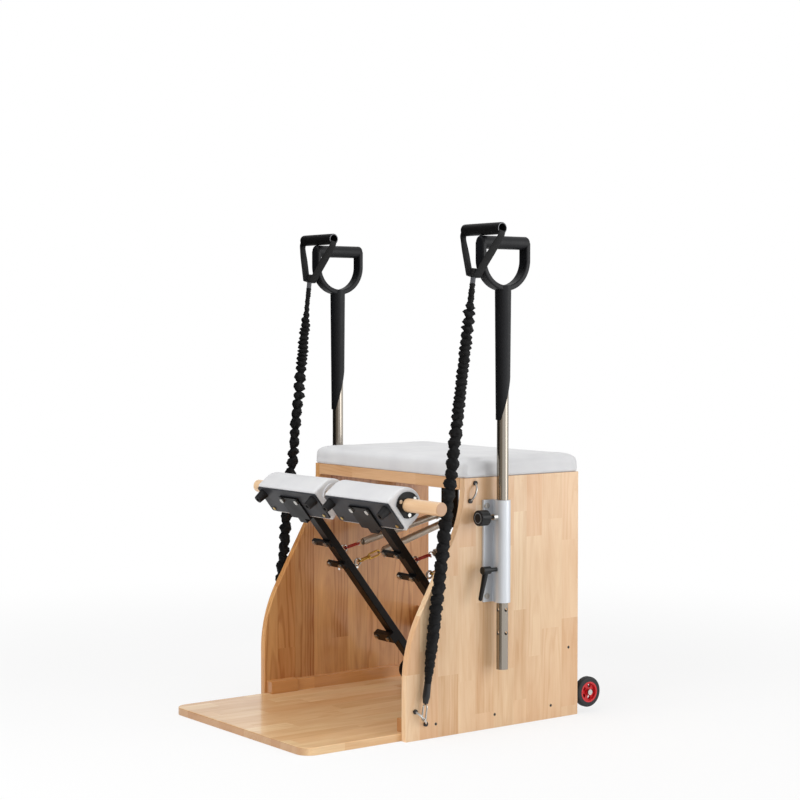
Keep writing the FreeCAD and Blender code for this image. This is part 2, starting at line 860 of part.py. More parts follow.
def pedal_flanges():
    """Bearing rings for the rod on both ends of the pedal, with a flat towards the plate."""
    made = []
    end = pedal_length / 2
    cuts = [rod_bore(rod_radius + running_gap)] + flange_screw_bars(screw_radius + shaft_gap)
    for side in SIDES.values():
        seat = V(side * end, rod_back, plate_middle)
        disc = Part.makeCylinder(flange_radius, flange_thick, seat, X_AXIS * side)
        spare = span_box((-end - flange_thick - overrun, end + flange_thick + overrun),
                         (rod_back - flange_radius - overrun, rod_back - flange_flat),
                         (plate_middle - flange_radius, plate_middle + flange_radius))
        made.append(bored(disc, cuts + [spare]))
    return made


def bumpers():
    """Two tapered rubber feet on the plate that land on the base board."""
    made = []
    height = plate_bottom + plate_wide - bumper_radius - mount_plate_thick
    for side in SIDES.values():
        seat = V(side * (pedal_length / 2 - bumper_inset), -plate_front, height)
        tip = seat - Y_AXIS * bumper_length
        foot = taper_between(seat, tip, bumper_radius, bumper_tip_radius)
        made.append(foot.cut(rod_between(tip, tip + Y_AXIS * bumper_bore_depth, bumper_bore_radius)))
    return made


def bolt_with_head(bar, place, way):
    """A bolt's shank with its round head at the given place."""
    head = Part.makeCylinder(bolt_head_radius, bolt_head_height, place, way)
    return bar.fuse(head).removeSplitter()


def screw_with_head(bar, place, way):
    """A small screw's shank with its round head at the given place."""
    head = Part.makeCylinder(screw_head_radius, screw_head_height, place, way)
    return bar.fuse(head).removeSplitter()


def pedal_bolts():
    """Bolts and screws that ride on the pedal: mounting plate, brackets, plate and flanges."""
    made = []
    for bar, p in zip(mount_bolt_bars(bolt_radius), mount_bolt_places()):
        made.append(bolt_with_head(bar, p, -Y_AXIS))
    for bar, (p, deep) in zip(tube_bolts(0), bracket_bolt_rows()):
        made.append(bolt_with_head(bar, p, -Y_AXIS))
    for bar in plate_screw_bars(screw_radius):
        p = V(bar.CenterOfMass.x, -plate_front, bar.CenterOfMass.z)
        made.append(screw_with_head(bar, p, -Y_AXIS))
    end = pedal_length / 2 + flange_thick
    bars = flange_screw_bars(screw_radius)
    places = [(p, s) for s in SIDES.values() for p in flange_screw_places(s * end)]
    for bar, (p, s) in zip(bars, places):
        made.append(screw_with_head(bar, p, X_AXIS * s))
    return made


def pedal_rod():
    """The turned wooden rod that joins the two pedals and sticks out on the right."""
    centre = arm_point(0, plate_middle, rod_back)
    rod = Part.makeCylinder(rod_radius, rod_left_reach + rod_right_reach,
                            V(-rod_left_reach, centre.y, centre.z), X_AXIS)
    return rod.makeFillet(rod_end_round, [e for e in rod.Edges if e.isClosed()])


def rack_anchor(x, level):
    """The front of one nut on the rack, where a spring ends."""
    return V(x, rack_y - rack_nut_length, rack_bolt_bottom + rack_bolt_pitch * level)


def spring_line(x, place, level):
    """Where one spring's clips and wire run: out of its eye and straight to its anchor."""
    centre = eye_centre(x, place)
    anchor = rack_anchor(x, level)
    way = (anchor - centre).normalize()
    return centre, anchor, way


def spring_clips(x, place, level, lengths):
    """Oval links from the arm's eye towards the spring, each through the one before."""
    centre, anchor, way = spring_line(x, place, level)
    start = centre + way * (eye_hole_radius - clip_wire_radius - running_gap)
    made = []
    across = X_AXIS
    for length in lengths:
        end = start + way * length
        made.append(link(start, end, clip_half_width, clip_wire_radius, across))
        across = way.cross(across)
        start = end - way * (2 * clip_wire_radius + running_gap)
    return made, end + way * clip_wire_radius


def spring_collar(x, place, level):
    """A pressed ring round the last turns of a spring, beside its anchor."""
    _, anchor, way = spring_line(x, place, level)
    inner = spring_radius + spring_wire_radius + running_gap
    end = anchor - way * (running_gap + 2 * spring_wire_radius + spring_lead)
    start = end - way * collar_length
    return rod_between(start, end, inner + collar_wall).cut(rod_between(start, end, inner))


def spring(x, place, level, lengths):
    """A coil spring with straight ends on its axis, one unbroken wire."""
    _, start = spring_clips(x, place, level, lengths)
    _, anchor, way = spring_line(x, place, level)
    start = start + way * running_gap
    end = anchor - way * ((running_gap + spring_wire_radius * abs(way.z)) / way.y)
    stub = 2 * spring_wire_radius
    first, second = X_AXIS, way.cross(X_AXIS).normalize()
    coil_start, coil_end = start + way * (stub + spring_lead), end - way * (stub + spring_lead)
    pitch = (coil_end - coil_start).Length / spring_turns
    rise = pitch / (2 * math.pi * spring_radius)

    def on_coil(turn):
        angle = 2 * math.pi * turn
        out = first * math.cos(angle) + second * math.sin(angle)
        round_way = second * math.cos(angle) - first * math.sin(angle)
        return coil_start + way * (pitch * turn) + out * spring_radius, (round_way + way * rise).normalize()

    steps = [on_coil(n / 2) for n in range(2 * spring_turns + 1)]
    edges = [Part.makeLine(start, start + way * stub)]
    stops = [(start + way * stub, V(way))] + steps + [(end - way * stub, V(way))]
    for (p, p_way), (q, q_way) in zip(stops, stops[1:]):
        edges += biarc(p, p_way, q, q_way)
    edges.append(Part.makeLine(end - way * stub, end))
    wire = pipe(edges, spring_wire_radius, way)
    length = sum(e.Length for e in edges)
    share = wire.Volume / (math.pi * spring_wire_radius ** 2 * length)
    samples = [p for e in edges for p in e.discretize(4)[:-1]]
    apart = 8
    least = min(p.distanceToPoint(q) for n, p in enumerate(samples) for q in samples[n + apart:])
    print("spring: least gap %.2f mm, volume share %.3f" % (least - 2 * spring_wire_radius, share))
    return wire


def rack_bolts(x_middle):
    """Anchor bolts on one rack, alternately for the two spring lines."""
    made, holes = [], []
    for n in range(rack_bolt_count):
        x = x_middle + (spring_spread if n % 2 == 0 else -spring_spread)
        nut = rack_anchor(x, n)
        plate = V(x, rack_y, nut.z)
        back = plate + Y_AXIS * rack_thick
        bolt = rod_between(nut, plate, rack_nut_radius)
        bolt = bolt.fuse([rod_between(plate, back, rack_bolt_radius),
                          rod_between(back, back + Y_AXIS * rack_nut_length / 2, rack_nut_radius)])
        made.append(bolt.removeSplitter())
        holes.append(rod_between(plate, back, rack_bolt_radius + shaft_gap))
    return made, holes


def spring_rack(x_middle, holes):
    """A bent steel plate hung under the seat board, with a row of anchor bolts."""
    x_span = (x_middle - rack_wide / 2, x_middle + rack_wide / 2)
    plate = span_box(x_span, (rack_y, rack_y + rack_thick), (rack_bottom, seat_under))
    flange = span_box(x_span, (rack_y - rack_flange, rack_y + rack_thick),
                      (seat_under - rack_thick, seat_under))
    return bored(plate.fuse(flange).removeSplitter(), holes)


def pole():
    """The right pole: a steel tube with cross-drilled index holes."""
    foot = V(pole_x, pole_y, pole_bottom)
    tube = Part.makeCylinder(pole_radius, pole_top - pole_bottom, foot)
    inside = Part.makeCylinder(pole_radius - pole_wall, pole_top - pole_bottom + 2 * overrun,
                               foot - Z_AXIS * overrun)
    holes = []
    for n in range(pole_hole_count):
        z = index_height - pole_hole_pitch * n
        for way in (X_AXIS, Y_AXIS):
            start = V(pole_x, pole_y, z) - way * (pole_radius + overrun)
            holes.append(Part.makeCylinder(pole_hole_radius, 2 * (pole_radius + overrun), start, way))
    return bored(tube, [inside] + holes)


def pole_bracket():
    """The right pole's extruded guide: flange on the panel, web and a round barrel."""
    barrel = pole_radius + bracket_wall
    flange_top = half_width + bracket_flange_thick
    height = bracket_top - bracket_bottom
    flange = span_box((half_width, flange_top),
                      (pole_y - bracket_flange_half_width, pole_y + bracket_flange_half_width),
                      (bracket_bottom, bracket_top))
    rims = [e for e in flange.Edges if e.Length > height - shaft_gap
            and e.CenterOfMass.x > half_width + shaft_gap]
    flange = flange.makeFillet(bracket_flange_thick / 3, rims)
    web = span_box((half_width, pole_x),
                   (pole_y - bracket_neck_half_width, pole_y + bracket_neck_half_width),
                   (bracket_bottom, bracket_top))
    tube = Part.makeCylinder(barrel, height, V(pole_x, pole_y, bracket_bottom))
    bore = Part.makeCylinder(pole_radius + running_gap, height + 2 * overrun,
                             V(pole_x, pole_y, bracket_bottom - overrun))
    pin_way = Part.makeCylinder(pin_radius + running_gap, barrel + overrun,
                                V(pole_x, pole_y, index_height), -Y_AXIS)
    stem_way = Part.makeCylinder(lever_stem_radius + running_gap, barrel + overrun,
                                 V(pole_x, pole_y, lever_height), -Y_AXIS)
    solid = flange.fuse([web, tube]).removeSplitter()
    return bored(solid, [bore, pin_way, stem_way] + bracket_bolt_bars(bolt_radius + shaft_gap))


def bracket_fasteners():
    """Bolts of the right pole bracket and the threaded sleeve that guides its index pin."""
    made = []
    for bar, p in zip(bracket_bolt_bars(bolt_radius), bracket_bolt_places()):
        top = p + X_AXIS * bracket_flange_thick
        made.append(bolt_with_head(bar, top, X_AXIS))
    front = V(pole_x, pole_y - pole_radius - bracket_wall, index_height)
    sleeve = Part.makeCylinder(pin_sleeve_radius, pin_sleeve_length, front, -Y_AXIS)
    pin_way = Part.makeCylinder(pin_radius + running_gap, pin_sleeve_length, front, -Y_AXIS)
    made.append(sleeve.cut(pin_way))
    return made


def index_knob():
    """The right index knob: fluted grip and pin, drawn back so that the pin stands clear of the pole."""
    face = V(pole_x, pole_y - knob_face_reach, index_height)
    back = face + Y_AXIS * knob_length
    tip = V(pole_x, pole_y - pole_radius - running_gap, index_height)
    grip = rod_between(face, back, knob_radius)
    grip = grip.makeFillet(knob_face_round, [e for e in grip.Edges if e.isClosed()])
    grooves = []
    for n in range(knob_groove_count):
        turn = 2 * math.pi * n / knob_groove_count
        out = V(math.cos(turn), 0, math.sin(turn)) * knob_radius
        run_out = Y_AXIS * overrun
        grooves.append(rod_between(face - run_out + out, back + run_out + out, knob_groove_radius))
    return bored(grip, grooves).fuse(rod_between(back, tip, pin_radius)).removeSplitter()


def clamp_lever():
    """The right clamp lever: stem, hub and an arm that hangs down and leans forward."""
    front = V(pole_x, pole_y - lever_hub_reach, lever_height)
    back = front + Y_AXIS * lever_hub_length
    tip = V(pole_x, pole_y - pole_radius - running_gap, lever_height)
    hub = rod_between(front, back, lever_hub_radius)
    stem = rod_between(back, tip, lever_stem_radius)
    root = (front + back) * 0.5
    rake = math.radians(lever_rake)
    end = root + V(0, -math.sin(rake), -math.cos(rake)) * lever_length
    handle = taper_between(root, end, lever_root_radius, lever_tip_radius)
    ball = Part.makeSphere(lever_tip_radius, end)
    return hub.fuse([stem, handle, ball]).removeSplitter()


def bow_face(half_width, low_wall):
    """The D of the handle in the plane of the pole: straight limbs and a half-round bow."""
    def at(y, z):
        return V(pole_x, pole_y + y, z)

    top = handle_top - handle_bar_radius
    bend = half_width * math.cos(math.radians(45))
    centre = handle_bow_height
    return outline(
        (at(-half_width, top), at(half_width, top)),
        (at(half_width, top), at(half_width, centre)),
        (at(half_width, centre), at(bend, centre - bend), at(0, centre - half_width + low_wall)),
        (at(0, centre - half_width + low_wall), at(-bend, centre - bend), at(-half_width, centre)),
        (at(-half_width, centre), at(-half_width, top)),
    )


def d_handle():
    """The right handle: cross bar, bow and a socket for the pole with an oblique end."""
    deep = X_AXIS * handle_depth
    outer = bow_face(handle_half_width, 0).extrude(deep)
    inner = bow_face(handle_half_width - handle_wall, 0).extrude(deep)
    bow = outer.cut(inner)
    bow.translate(deep * -0.5)
    hand_hole = inner.copy()
    hand_hole.translate(deep * -0.5)
    rims = [e for e in bow.Edges if abs(abs(e.CenterOfMass.x - pole_x) - handle_depth / 2) < shaft_gap
            and e.CenterOfMass.z < handle_top - handle_bar_radius - shaft_gap]
    bow = bow.makeFillet(handle_edge_round, rims)
    bar_z = handle_top - handle_bar_radius
    bar = rod_between(V(pole_x, pole_y - handle_half_width, bar_z),
                      V(pole_x, pole_y + handle_half_width, bar_z), handle_bar_radius)
    bar = bar.makeFillet(handle_bar_round, [e for e in bar.Edges if e.isClosed()])
    neck_top = handle_bow_height - handle_half_width + handle_wall
    neck = taper_between(V(pole_x, pole_y, socket_front_end), V(pole_x, pole_y, neck_top),
                         socket_radius, neck_radius)
    reach = neck_radius + overrun
    slope = (socket_rear_end - socket_front_end) / (2 * socket_radius - socket_tip_flat)
    middle = socket_rear_end - slope * socket_radius
    low = socket_front_end - slope * reach
    cut_face = polygon([
        V(pole_x - reach, pole_y - reach, middle - slope * reach),
        V(pole_x - reach, pole_y + reach, middle + slope * reach),
        V(pole_x - reach, pole_y + reach, low),
    ])
    oblique = cut_face.extrude(X_AXIS * (2 * reach))
    socket = Part.makeCylinder(pole_radius + shaft_gap, pole_top - pole_bottom,
                               V(pole_x, pole_y, pole_bottom))
    body = bow.fuse([bar, neck.cut(hand_hole)]).removeSplitter()
    return bored(body, [oblique, socket])


def wheel_centre(x):
    """A point on the wheel axis."""
    return V(x, panel_back + wheel_behind, wheel_height)


wheel_inner = inner_half + 2 * running_gap
wheel_outer = wheel_inner + wheel_width


def wheel_tyre():
    """The right wheel's rubber tyre."""
    ring = Part.makeCylinder(wheel_radius, wheel_width, wheel_centre(wheel_inner), X_AXIS)
    ring = ring.makeFillet(tyre_round, [e for e in ring.Edges if e.isClosed()])
    hole = Part.makeCylinder(wheel_radius - tyre_thick, wheel_width, wheel_centre(wheel_inner), X_AXIS)
    return ring.cut(hole)


def wheel_hub():
    """The right wheel's moulded hub: rim, a web with round windows, and a boss."""
    rim_radius = wheel_radius - tyre_thick
    start = wheel_centre(wheel_inner)
    rim = Part.makeCylinder(rim_radius, wheel_width, start, X_AXIS)
    hollow = Part.makeCylinder(rim_radius - hub_rim_thick, wheel_width, start, X_AXIS)
    web_start = wheel_centre(wheel_inner + (wheel_width - hub_web_thick) / 2)
    web = Part.makeCylinder(rim_radius - hub_rim_thick / 2, hub_web_thick, web_start, X_AXIS)
    boss = Part.makeCylinder(hub_boss_radius, wheel_width, start, X_AXIS)
    windows = []
    for n in range(hub_window_count):
        turn = 2 * math.pi * n / hub_window_count
        out = V(0, math.cos(turn), math.sin(turn)) * hub_window_ring
        windows.append(Part.makeCylinder(hub_window_radius, wheel_width, start + out, X_AXIS))
    solid = bored(rim.cut(hollow).fuse(web), windows).fuse(boss).removeSplitter()
    bore = Part.makeCylinder(wheel_axle_radius + shaft_gap, wheel_width, start, X_AXIS)
    return solid.cut(bore)


def wheel_axle():
    """The right wheel's shouldered bolt, with its head outside the hub."""
    inner = wheel_centre(inner_half - wheel_bracket_thick)
    outer = wheel_centre(wheel_outer + running_gap)
    bolt = rod_between(inner, outer, wheel_axle_radius)
    head = Part.makeCylinder(wheel_axle_head_radius, wheel_axle_head_height, outer, X_AXIS)
    return bolt.fuse(head).removeSplitter()


def wheel_bracket():
    """A steel strap on the inner face of the right panel that carries the wheel."""
    inner = inner_half - wheel_bracket_thick
    axis = wheel_centre(inner)
    half = wheel_bracket_half_height
    strap = span_box((inner, inner_half), (axis.y - wheel_bracket_reach, axis.y),
                     (wheel_height - half, wheel_height + half))
    end = Part.makeCylinder(half, wheel_bracket_thick, axis, X_AXIS)
    hole = Part.makeCylinder(wheel_axle_radius + shaft_gap, wheel_bracket_thick, axis, X_AXIS)
    cleat_cut = span_box((0, half_width), (panel_front, panel_back),
                         (board_thick, board_thick + cleat_height))
    solid = strap.fuse(end).removeSplitter().cut(cleat_cut)
    return bored(solid, [hole] + wheel_screw_bars(screw_radius + shaft_gap))


def band_eye(back, height, tilt):
    """A bowed wire between two ferrules on the right panel."""
    middle = V(half_width, panel_front + back, height)
    turn = math.radians(tilt)
    along = V(0, math.sin(turn), math.cos(turn))
    ends = [middle + along * (s * band_eye_span / 2) for s in (-1, 1)]
    bow = Part.Arc(ends[0], middle + X_AXIS * band_eye_rise, ends[1]).toShape()
    wire = pipe([bow], band_eye_wire_radius, bow.tangentAt(bow.FirstParameter))
    inside = span_box((0, half_width), (panel_front, panel_back), (0, panel_height))
    ferrules = [Part.makeCylinder(ferrule_radius, ferrule_height, p, X_AXIS) for p in ends]
    return wire.cut(inside).fuse(ferrules).removeSplitter()


def band_foot():
    """The top of the lower eye's bow, which the right band pulls on."""
    return V(half_width + band_eye_rise, panel_front + lower_eye_back, lower_eye_height)


def strap_foot():
    """The middle of the strap's lower fold on the right side."""
    grip = grip_middle()
    return grip - V(0, strap_lean_forward, strap_drop)


def grip_middle():
    """The middle of the right grip, which hangs on the front end of the handle's bar."""
    front = pole_y - handle_half_width + grip_from_bar_end
    return V(pole_x, front, handle_top + grip_radius + running_gap)


def band_line():
    """Foot, top and direction of the right band, which is pulled straight."""
    foot = band_foot()
    top = strap_foot() - (strap_foot() - foot).normalize() * (strap_thick / 2 + band_tube_length)
    return foot, top, (top - foot).normalize()


def band_hook():
    """The oval hook through the lower eye."""
    foot, _, way = band_line()
    start = foot - way * (band_eye_wire_radius + hook_wire_radius + running_gap)
    return link(start, start + way * hook_length, hook_half_width, hook_wire_radius, X_AXIS)


def cap_bottom():
    """Where the end cap starts, just above the hook."""
    foot, _, way = band_line()
    rise = hook_length - band_eye_wire_radius
    return foot + way * rise


def band_cap():
    """The moulded end cap: a narrow tip, a round belly and a neck for the sleeve."""
    _, _, way = band_line()
    low = cap_bottom()
    belly = low + way * (end_cap_length * end_cap_belly_share)
    high = low + way * end_cap_length
    tip = taper_between(low, belly, end_cap_tip_radius, end_cap_belly_radius)
    neck = taper_between(belly, high, end_cap_belly_radius, end_cap_top_radius)
    return tip.fuse(neck).removeSplitter()


def band_sleeve():
    """The gathered fabric sleeve over the elastic cord, one puckered tube."""
    _, top, way = band_line()
    low = cap_bottom() + way * end_cap_length
    steps = 2 * sleeve_gather_count
    rings = []
    for n in range(steps + 1):
        share = n / steps
        swell = math.sin(math.pi * share)
        base = sleeve_low_radius + (sleeve_high_radius - sleeve_low_radius) * share
        radius = base + (sleeve_mid_radius - base) * swell
        if n % 2 == 0:
            radius -= sleeve_gather_depth
        centre = low + (top - low) * share
        rings.append(Part.Wire(Part.makeCircle(radius, centre, way)))
    return Part.makeLoft(rings, True, True)


def band_plug():
    """The plug above the strap's fold, with the bare end of the elastic below it."""
    _, top, way = band_line()
    fold = strap_foot()
    tilt = (grip_middle() - fold).normalize().cross(way).Length
    seat = fold + way * (strap_thick / 2 + plug_radius * tilt + running_gap)
    stem = rod_between(top, seat, band_tube_radius)
    head = rod_between(seat, seat + way * plug_length, plug_radius)
    return stem.fuse(head).removeSplitter()


def strap():
    """The webbing loop: through the grip, down both sides and across under the plug."""
    grip, fold = grip_middle(), strap_foot()
    up = (grip - fold).normalize()
    rise = (grip - fold).Length
    wide = up.cross(X_AXIS).normalize()
    half_top = grip_length / 2 + running_gap + strap_thick

    def ring(extra):
        low, high = -extra, rise + extra
        below = rise - grip_radius - strap_thick
        corners = [(-strap_foot_half - extra, low), (strap_foot_half + extra, low),
                   (half_top + extra, below), (half_top + extra, high),
                   (-half_top - extra, high), (-half_top - extra, below)]
        return polygon([fold + X_AXIS * x + up * w - wide * (strap_wide / 2) for x, w in corners])

    half = strap_thick / 2
    band = ring(half).extrude(wide * strap_wide).cut(ring(-half).extrude(wide * strap_wide))
    _, top, way = band_line()
    stem = rod_between(top, fold + way * (2 * strap_thick), band_tube_radius + shaft_gap)
    return band.cut(stem)


def grip():
    """The foam grip: a tube across the handle's bar, with the strap running through it."""
    middle = grip_middle()
    start = middle - X_AXIS * (grip_length / 2)
    end = middle + X_AXIS * (grip_length / 2)
    body = rod_between(start, end, grip_radius)
    body = body.makeFillet(grip_end_round / 2, [e for e in body.Edges if e.isClosed()])
    return body.cut(rod_between(start, end, grip_bore_radius))


os.makedirs("parts", exist_ok=True)

# Frame
for name, side in SIDES.items():
    save(name + "_side_panel", mirrored([side_panel()], side))
    frame_fasteners += mirrored(bracket_fasteners(), side)
    frame_fasteners += mirrored(wheel_screw_bars(screw_radius), side)
save("base_board", [base_board()])
save("seat_board", [seat_board()])
save("seat_pad", [seat_pad()])
save("cleats_and_rails", cleats() + rear_rails())
save("pivot_pedestals", pedestals() + axle_caps())
save("pivot_axle", [axle(axle_radius)])
frame_fasteners += foot_bolt_bars(foot_bolt_radius)

# Pedals, their springs and racks
racks = []
for name, side in SIDES.items():
    arm_x = side * arm_half
    save(name + "_arm", on_arm([arm()], arm_x))
    save(name + "_arm_fittings", on_arm(arm_brackets() + pedal_flanges(), arm_x))
    save(name + "_pedal_plate", on_arm([pedal_plate()], arm_x))
    save(name + "_pedal_core", on_arm([bored_core()], arm_x))
    save(name + "_pedal_pad", on_arm([pedal_pad()], arm_x))
    save(name + "_bumpers", on_arm(bumpers(), arm_x))
    save(name + "_pedal_bolts", on_arm(pedal_bolts(), arm_x))
    lines = (
        ("upper", arm_x - spring_spread, upper_eye_place, 1, (upper_clip_length,)),
        ("lower", arm_x + spring_spread, lower_eye_place, 0, (lower_clip_length, lower_clip_length)),
    )
    for level_name, x, place, level, lengths in lines:
        label = name + "_" + level_name
        save(label + "_clips", spring_clips(x, place, level, lengths)[0])
        save(label + "_spring", [spring(x, place, level, lengths)])
        save(label + "_collar", [spring_collar(x, place, level)])
    bolts, holes = rack_bolts(arm_x)
    frame_fasteners += bolts
    racks.append(spring_rack(arm_x, holes))
racks += mirrored([wheel_bracket()], RIGHT) + mirrored([wheel_bracket()], LEFT)
save("racks_and_wheel_brackets", racks)
save("pedal_rod", [pedal_rod()])

# Poles, brackets and handles
for name, side in SIDES.items():
    save(name + "_pole", mirrored([pole()], side))
    save(name + "_handle", mirrored([d_handle()], side))
    save(name + "_knob", mirrored([index_knob()], side))
    save(name + "_clamp_lever", mirrored([clamp_lever()], side))
save("pole_brackets", mirrored([pole_bracket()], RIGHT) + mirrored([pole_bracket()], LEFT))

# Wheels
for name, side in SIDES.items():
    save(name + "_wheel_tyre", mirrored([wheel_tyre()], side))
    save(name + "_wheel_hub", mirrored([wheel_hub()], side))
    frame_fasteners += mirrored([wheel_axle()], side)

# Resistance bands
eyes = [
    band_eye(upper_eye_back, upper_eye_height, upper_eye_tilt),
    band_eye(lower_eye_back, lower_eye_height, lower_eye_tilt),
    band_hook(),
]
save("band_eyes_and_hooks", mirrored(eyes, RIGHT) + mirrored(eyes, LEFT))
save("band_end_caps", mirrored([band_cap()], RIGHT) + mirrored([band_cap()], LEFT))
for name, side in SIDES.items():
    save(name + "_band_sleeve", mirrored([band_sleeve()], side))
    save(name + "_band_plug", mirrored([band_plug()], side))
    save(name + "_band_strap", mirrored([strap()], side))
    save(name + "_band_grip", mirrored([grip()], side))

save("frame_fasteners", frame_fasteners)
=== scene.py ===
import math

import bmesh
import bpy
from mathutils import Matrix, Vector


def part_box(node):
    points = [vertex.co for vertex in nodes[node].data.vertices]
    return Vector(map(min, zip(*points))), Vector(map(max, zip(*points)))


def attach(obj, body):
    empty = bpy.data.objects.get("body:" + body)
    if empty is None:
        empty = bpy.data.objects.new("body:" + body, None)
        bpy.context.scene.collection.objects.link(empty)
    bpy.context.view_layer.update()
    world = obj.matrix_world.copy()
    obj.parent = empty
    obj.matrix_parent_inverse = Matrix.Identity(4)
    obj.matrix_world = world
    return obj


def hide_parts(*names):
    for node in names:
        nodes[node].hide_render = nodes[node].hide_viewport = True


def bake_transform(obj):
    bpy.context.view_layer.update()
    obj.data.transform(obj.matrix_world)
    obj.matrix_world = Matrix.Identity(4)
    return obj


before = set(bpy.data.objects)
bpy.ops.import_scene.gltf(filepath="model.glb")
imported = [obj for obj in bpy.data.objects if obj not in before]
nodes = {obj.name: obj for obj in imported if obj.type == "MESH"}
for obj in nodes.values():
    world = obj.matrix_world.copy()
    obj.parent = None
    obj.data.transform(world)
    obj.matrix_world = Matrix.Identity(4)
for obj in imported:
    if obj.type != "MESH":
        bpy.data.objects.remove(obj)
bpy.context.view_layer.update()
scene = bpy.context.scene
scene.view_settings.view_transform = "Standard"
SIDES = {"right": 1, "left": -1}


# The studio: a pale seamless floor that keeps the chair's shadow, a large soft box at the right
# rear, softer ones in front and overhead, a black flag that only polished metal and gloss show,
# and the camera of the photograph.
floor_radius = 9.0
floor_drop = 0.0004
floor_white = "#F4F4F4"
shadow_reach = (0.9, 2.6)
floor_glow = 0.76
room_light = 0.42
soft_boxes = {
    "key": ((2.9, 2.1, 1.35), 2.8, 46.0, True),
    "front": ((0.7, -3.4, 2.3), 2.6, 80.0, False),
    "top": ((0.0, -0.2, 3.4), 2.6, 30.0, False),
}
lit_point = Vector((0.0, 0.0, 0.55))
flag_span = (-188, -28)
flag_steps = 48
flag_fade = (-0.6, 0.9)
flag_foot = 0.8
flag_flare = 0.52
flag_height = 4.0
flag_raised = (-150, 0.3)
flag_grey = (0.02, 0.4)
camera_place = Vector((3.70173, -2.70192, 0.96026))
camera_aim = Vector((-0.11592, 0.13125, 0.76682))
camera_lens = 83.57


def srgb(code):
    """A colour from its sRGB hex code, in linear light."""
    parts = [int(code[n:n + 2], 16) / 255 for n in (1, 3, 5)]
    linear = [p / 12.92 if p <= 0.04045 else ((p + 0.055) / 1.055) ** 2.4 for p in parts]
    return (*linear, 1.0)


def fill(tree, sockets, values):
    """Sets input sockets to values, or links them to outputs."""
    for name, value in values.items():
        if isinstance(value, bpy.types.NodeSocket):
            tree.links.new(value, sockets[name])
        else:
            sockets[name].default_value = value


def add(tree, kind, inputs=(), **settings):
    """Adds a node, sets it up, fills its inputs by name or in order, and gives its outputs.

    A kind without the word Node is a shader node, and a word after the kind is its operation.
    """
    kind, _, operation = kind.partition(" ")
    node = tree.nodes.new(kind if "Node" in kind else "ShaderNode" + kind)
    if operation:
        node.operation = operation
    for name, value in settings.items():
        setattr(node, name, value)
    fill(tree, node.inputs, inputs if isinstance(inputs, dict) else dict(enumerate(inputs)))
    return node.outputs


def put(name, mesh):
    """A new object at the origin that shows a mesh."""
    made = bpy.data.objects.new(name, mesh)
    scene.collection.objects.link(made)
    return made


def built(name, shape):
    """A new object at the origin with a finished bmesh in it."""
    mesh = bpy.data.meshes.new(name)
    shape.to_mesh(mesh)
    shape.free()
    return put(name, mesh)


def emptied(owner):
    """The node tree of a world or a material, turned on and cleared."""
    owner.use_nodes = True
    owner.node_tree.nodes.clear()
    return owner.node_tree


def seen_directly(tree):
    """1 for rays that show the background itself: from the camera, off metal or through glass."""
    path = add(tree, "LightPath")
    mirrored = add(tree, "Math MAXIMUM", (path["Is Glossy Ray"], path["Is Transmission Ray"]))
    return add(tree, "Math MAXIMUM", (path["Is Camera Ray"], mirrored[0]))[0]


scene.world = bpy.data.worlds.new("studio")
tree = emptied(scene.world)
strength = add(tree, "MapRange", {"Value": seen_directly(tree), "To Min": room_light, "To Max": 1.0})
backdrop = add(tree, "Background", {"Color": srgb("#FFFFFF"), "Strength": strength[0]})
add(tree, "OutputWorld", {"Surface": backdrop[0]})

paper = bpy.data.materials.new("white_paper_sweep")
tree = emptied(paper)
place = add(tree, "TexCoord")["Object"]
distance = add(tree, "VectorMath LENGTH", (place,))["Value"]
far = add(tree, "MapRange",
          {"Value": distance, "From Min": shadow_reach[0], "From Max": shadow_reach[1],
           "To Min": floor_glow, "To Max": 1.0}, interpolation_type="SMOOTHSTEP")
share = add(tree, "Math MULTIPLY", (far[0], seen_directly(tree)))
matt = add(tree, "BsdfDiffuse", {"Color": srgb(floor_white)})
glow = add(tree, "Emission", {"Color": srgb("#FFFFFF"), "Strength": 1.0})
mixed = add(tree, "MixShader", (share[0], matt[0], glow[0]))
add(tree, "OutputMaterial", {"Surface": mixed[0]})

shape = bmesh.new()
bmesh.ops.create_circle(shape, cap_ends=True, segments=96, radius=floor_radius)
floor = built("floor", shape)
floor.location.z = -floor_drop
floor.data.materials.append(paper)

velvet = bpy.data.materials.new("graded_black_flag")
tree = emptied(velvet)
place = add(tree, "TexCoord")["Object"]
level = add(tree, "VectorMath MULTIPLY", (place, (1, 1, 0)))
toward = add(tree, "VectorMath NORMALIZE", (level[0],))
sideways = add(tree, "SeparateXYZ", (toward[0],))
graded = add(tree, "MapRange",
             {"Value": sideways["X"], "From Min": flag_fade[0], "From Max": flag_fade[1],
              "To Min": flag_grey[0], "To Max": flag_grey[1]}, interpolation_type="SMOOTHSTEP")
dark = add(tree, "Emission", {"Color": srgb("#FFF4E6"), "Strength": graded[0]})
add(tree, "OutputMaterial", {"Surface": dark[0]})
shape = bmesh.new()
rows = []
for n in range(flag_steps + 1):
    turn = flag_span[0] + (flag_span[1] - flag_span[0]) * n / flag_steps
    foot = flag_raised[1] if turn < flag_raised[0] else 0.0
    angle = math.radians(turn)
    spread = [(flag_foot + flag_flare * z, z) for z in (foot, flag_height)]
    rows.append([shape.verts.new((r * math.cos(angle), r * math.sin(angle), z)) for r, z in spread])
for before, after in zip(rows, rows[1:]):
    shape.faces.new((before[0], after[0], after[1], before[1]))
flag = built("flag", shape)
flag.data.materials.append(velvet)
for ray in ("camera", "diffuse", "transmission", "volume_scatter", "shadow"):
    setattr(flag, "visible_" + ray, False)

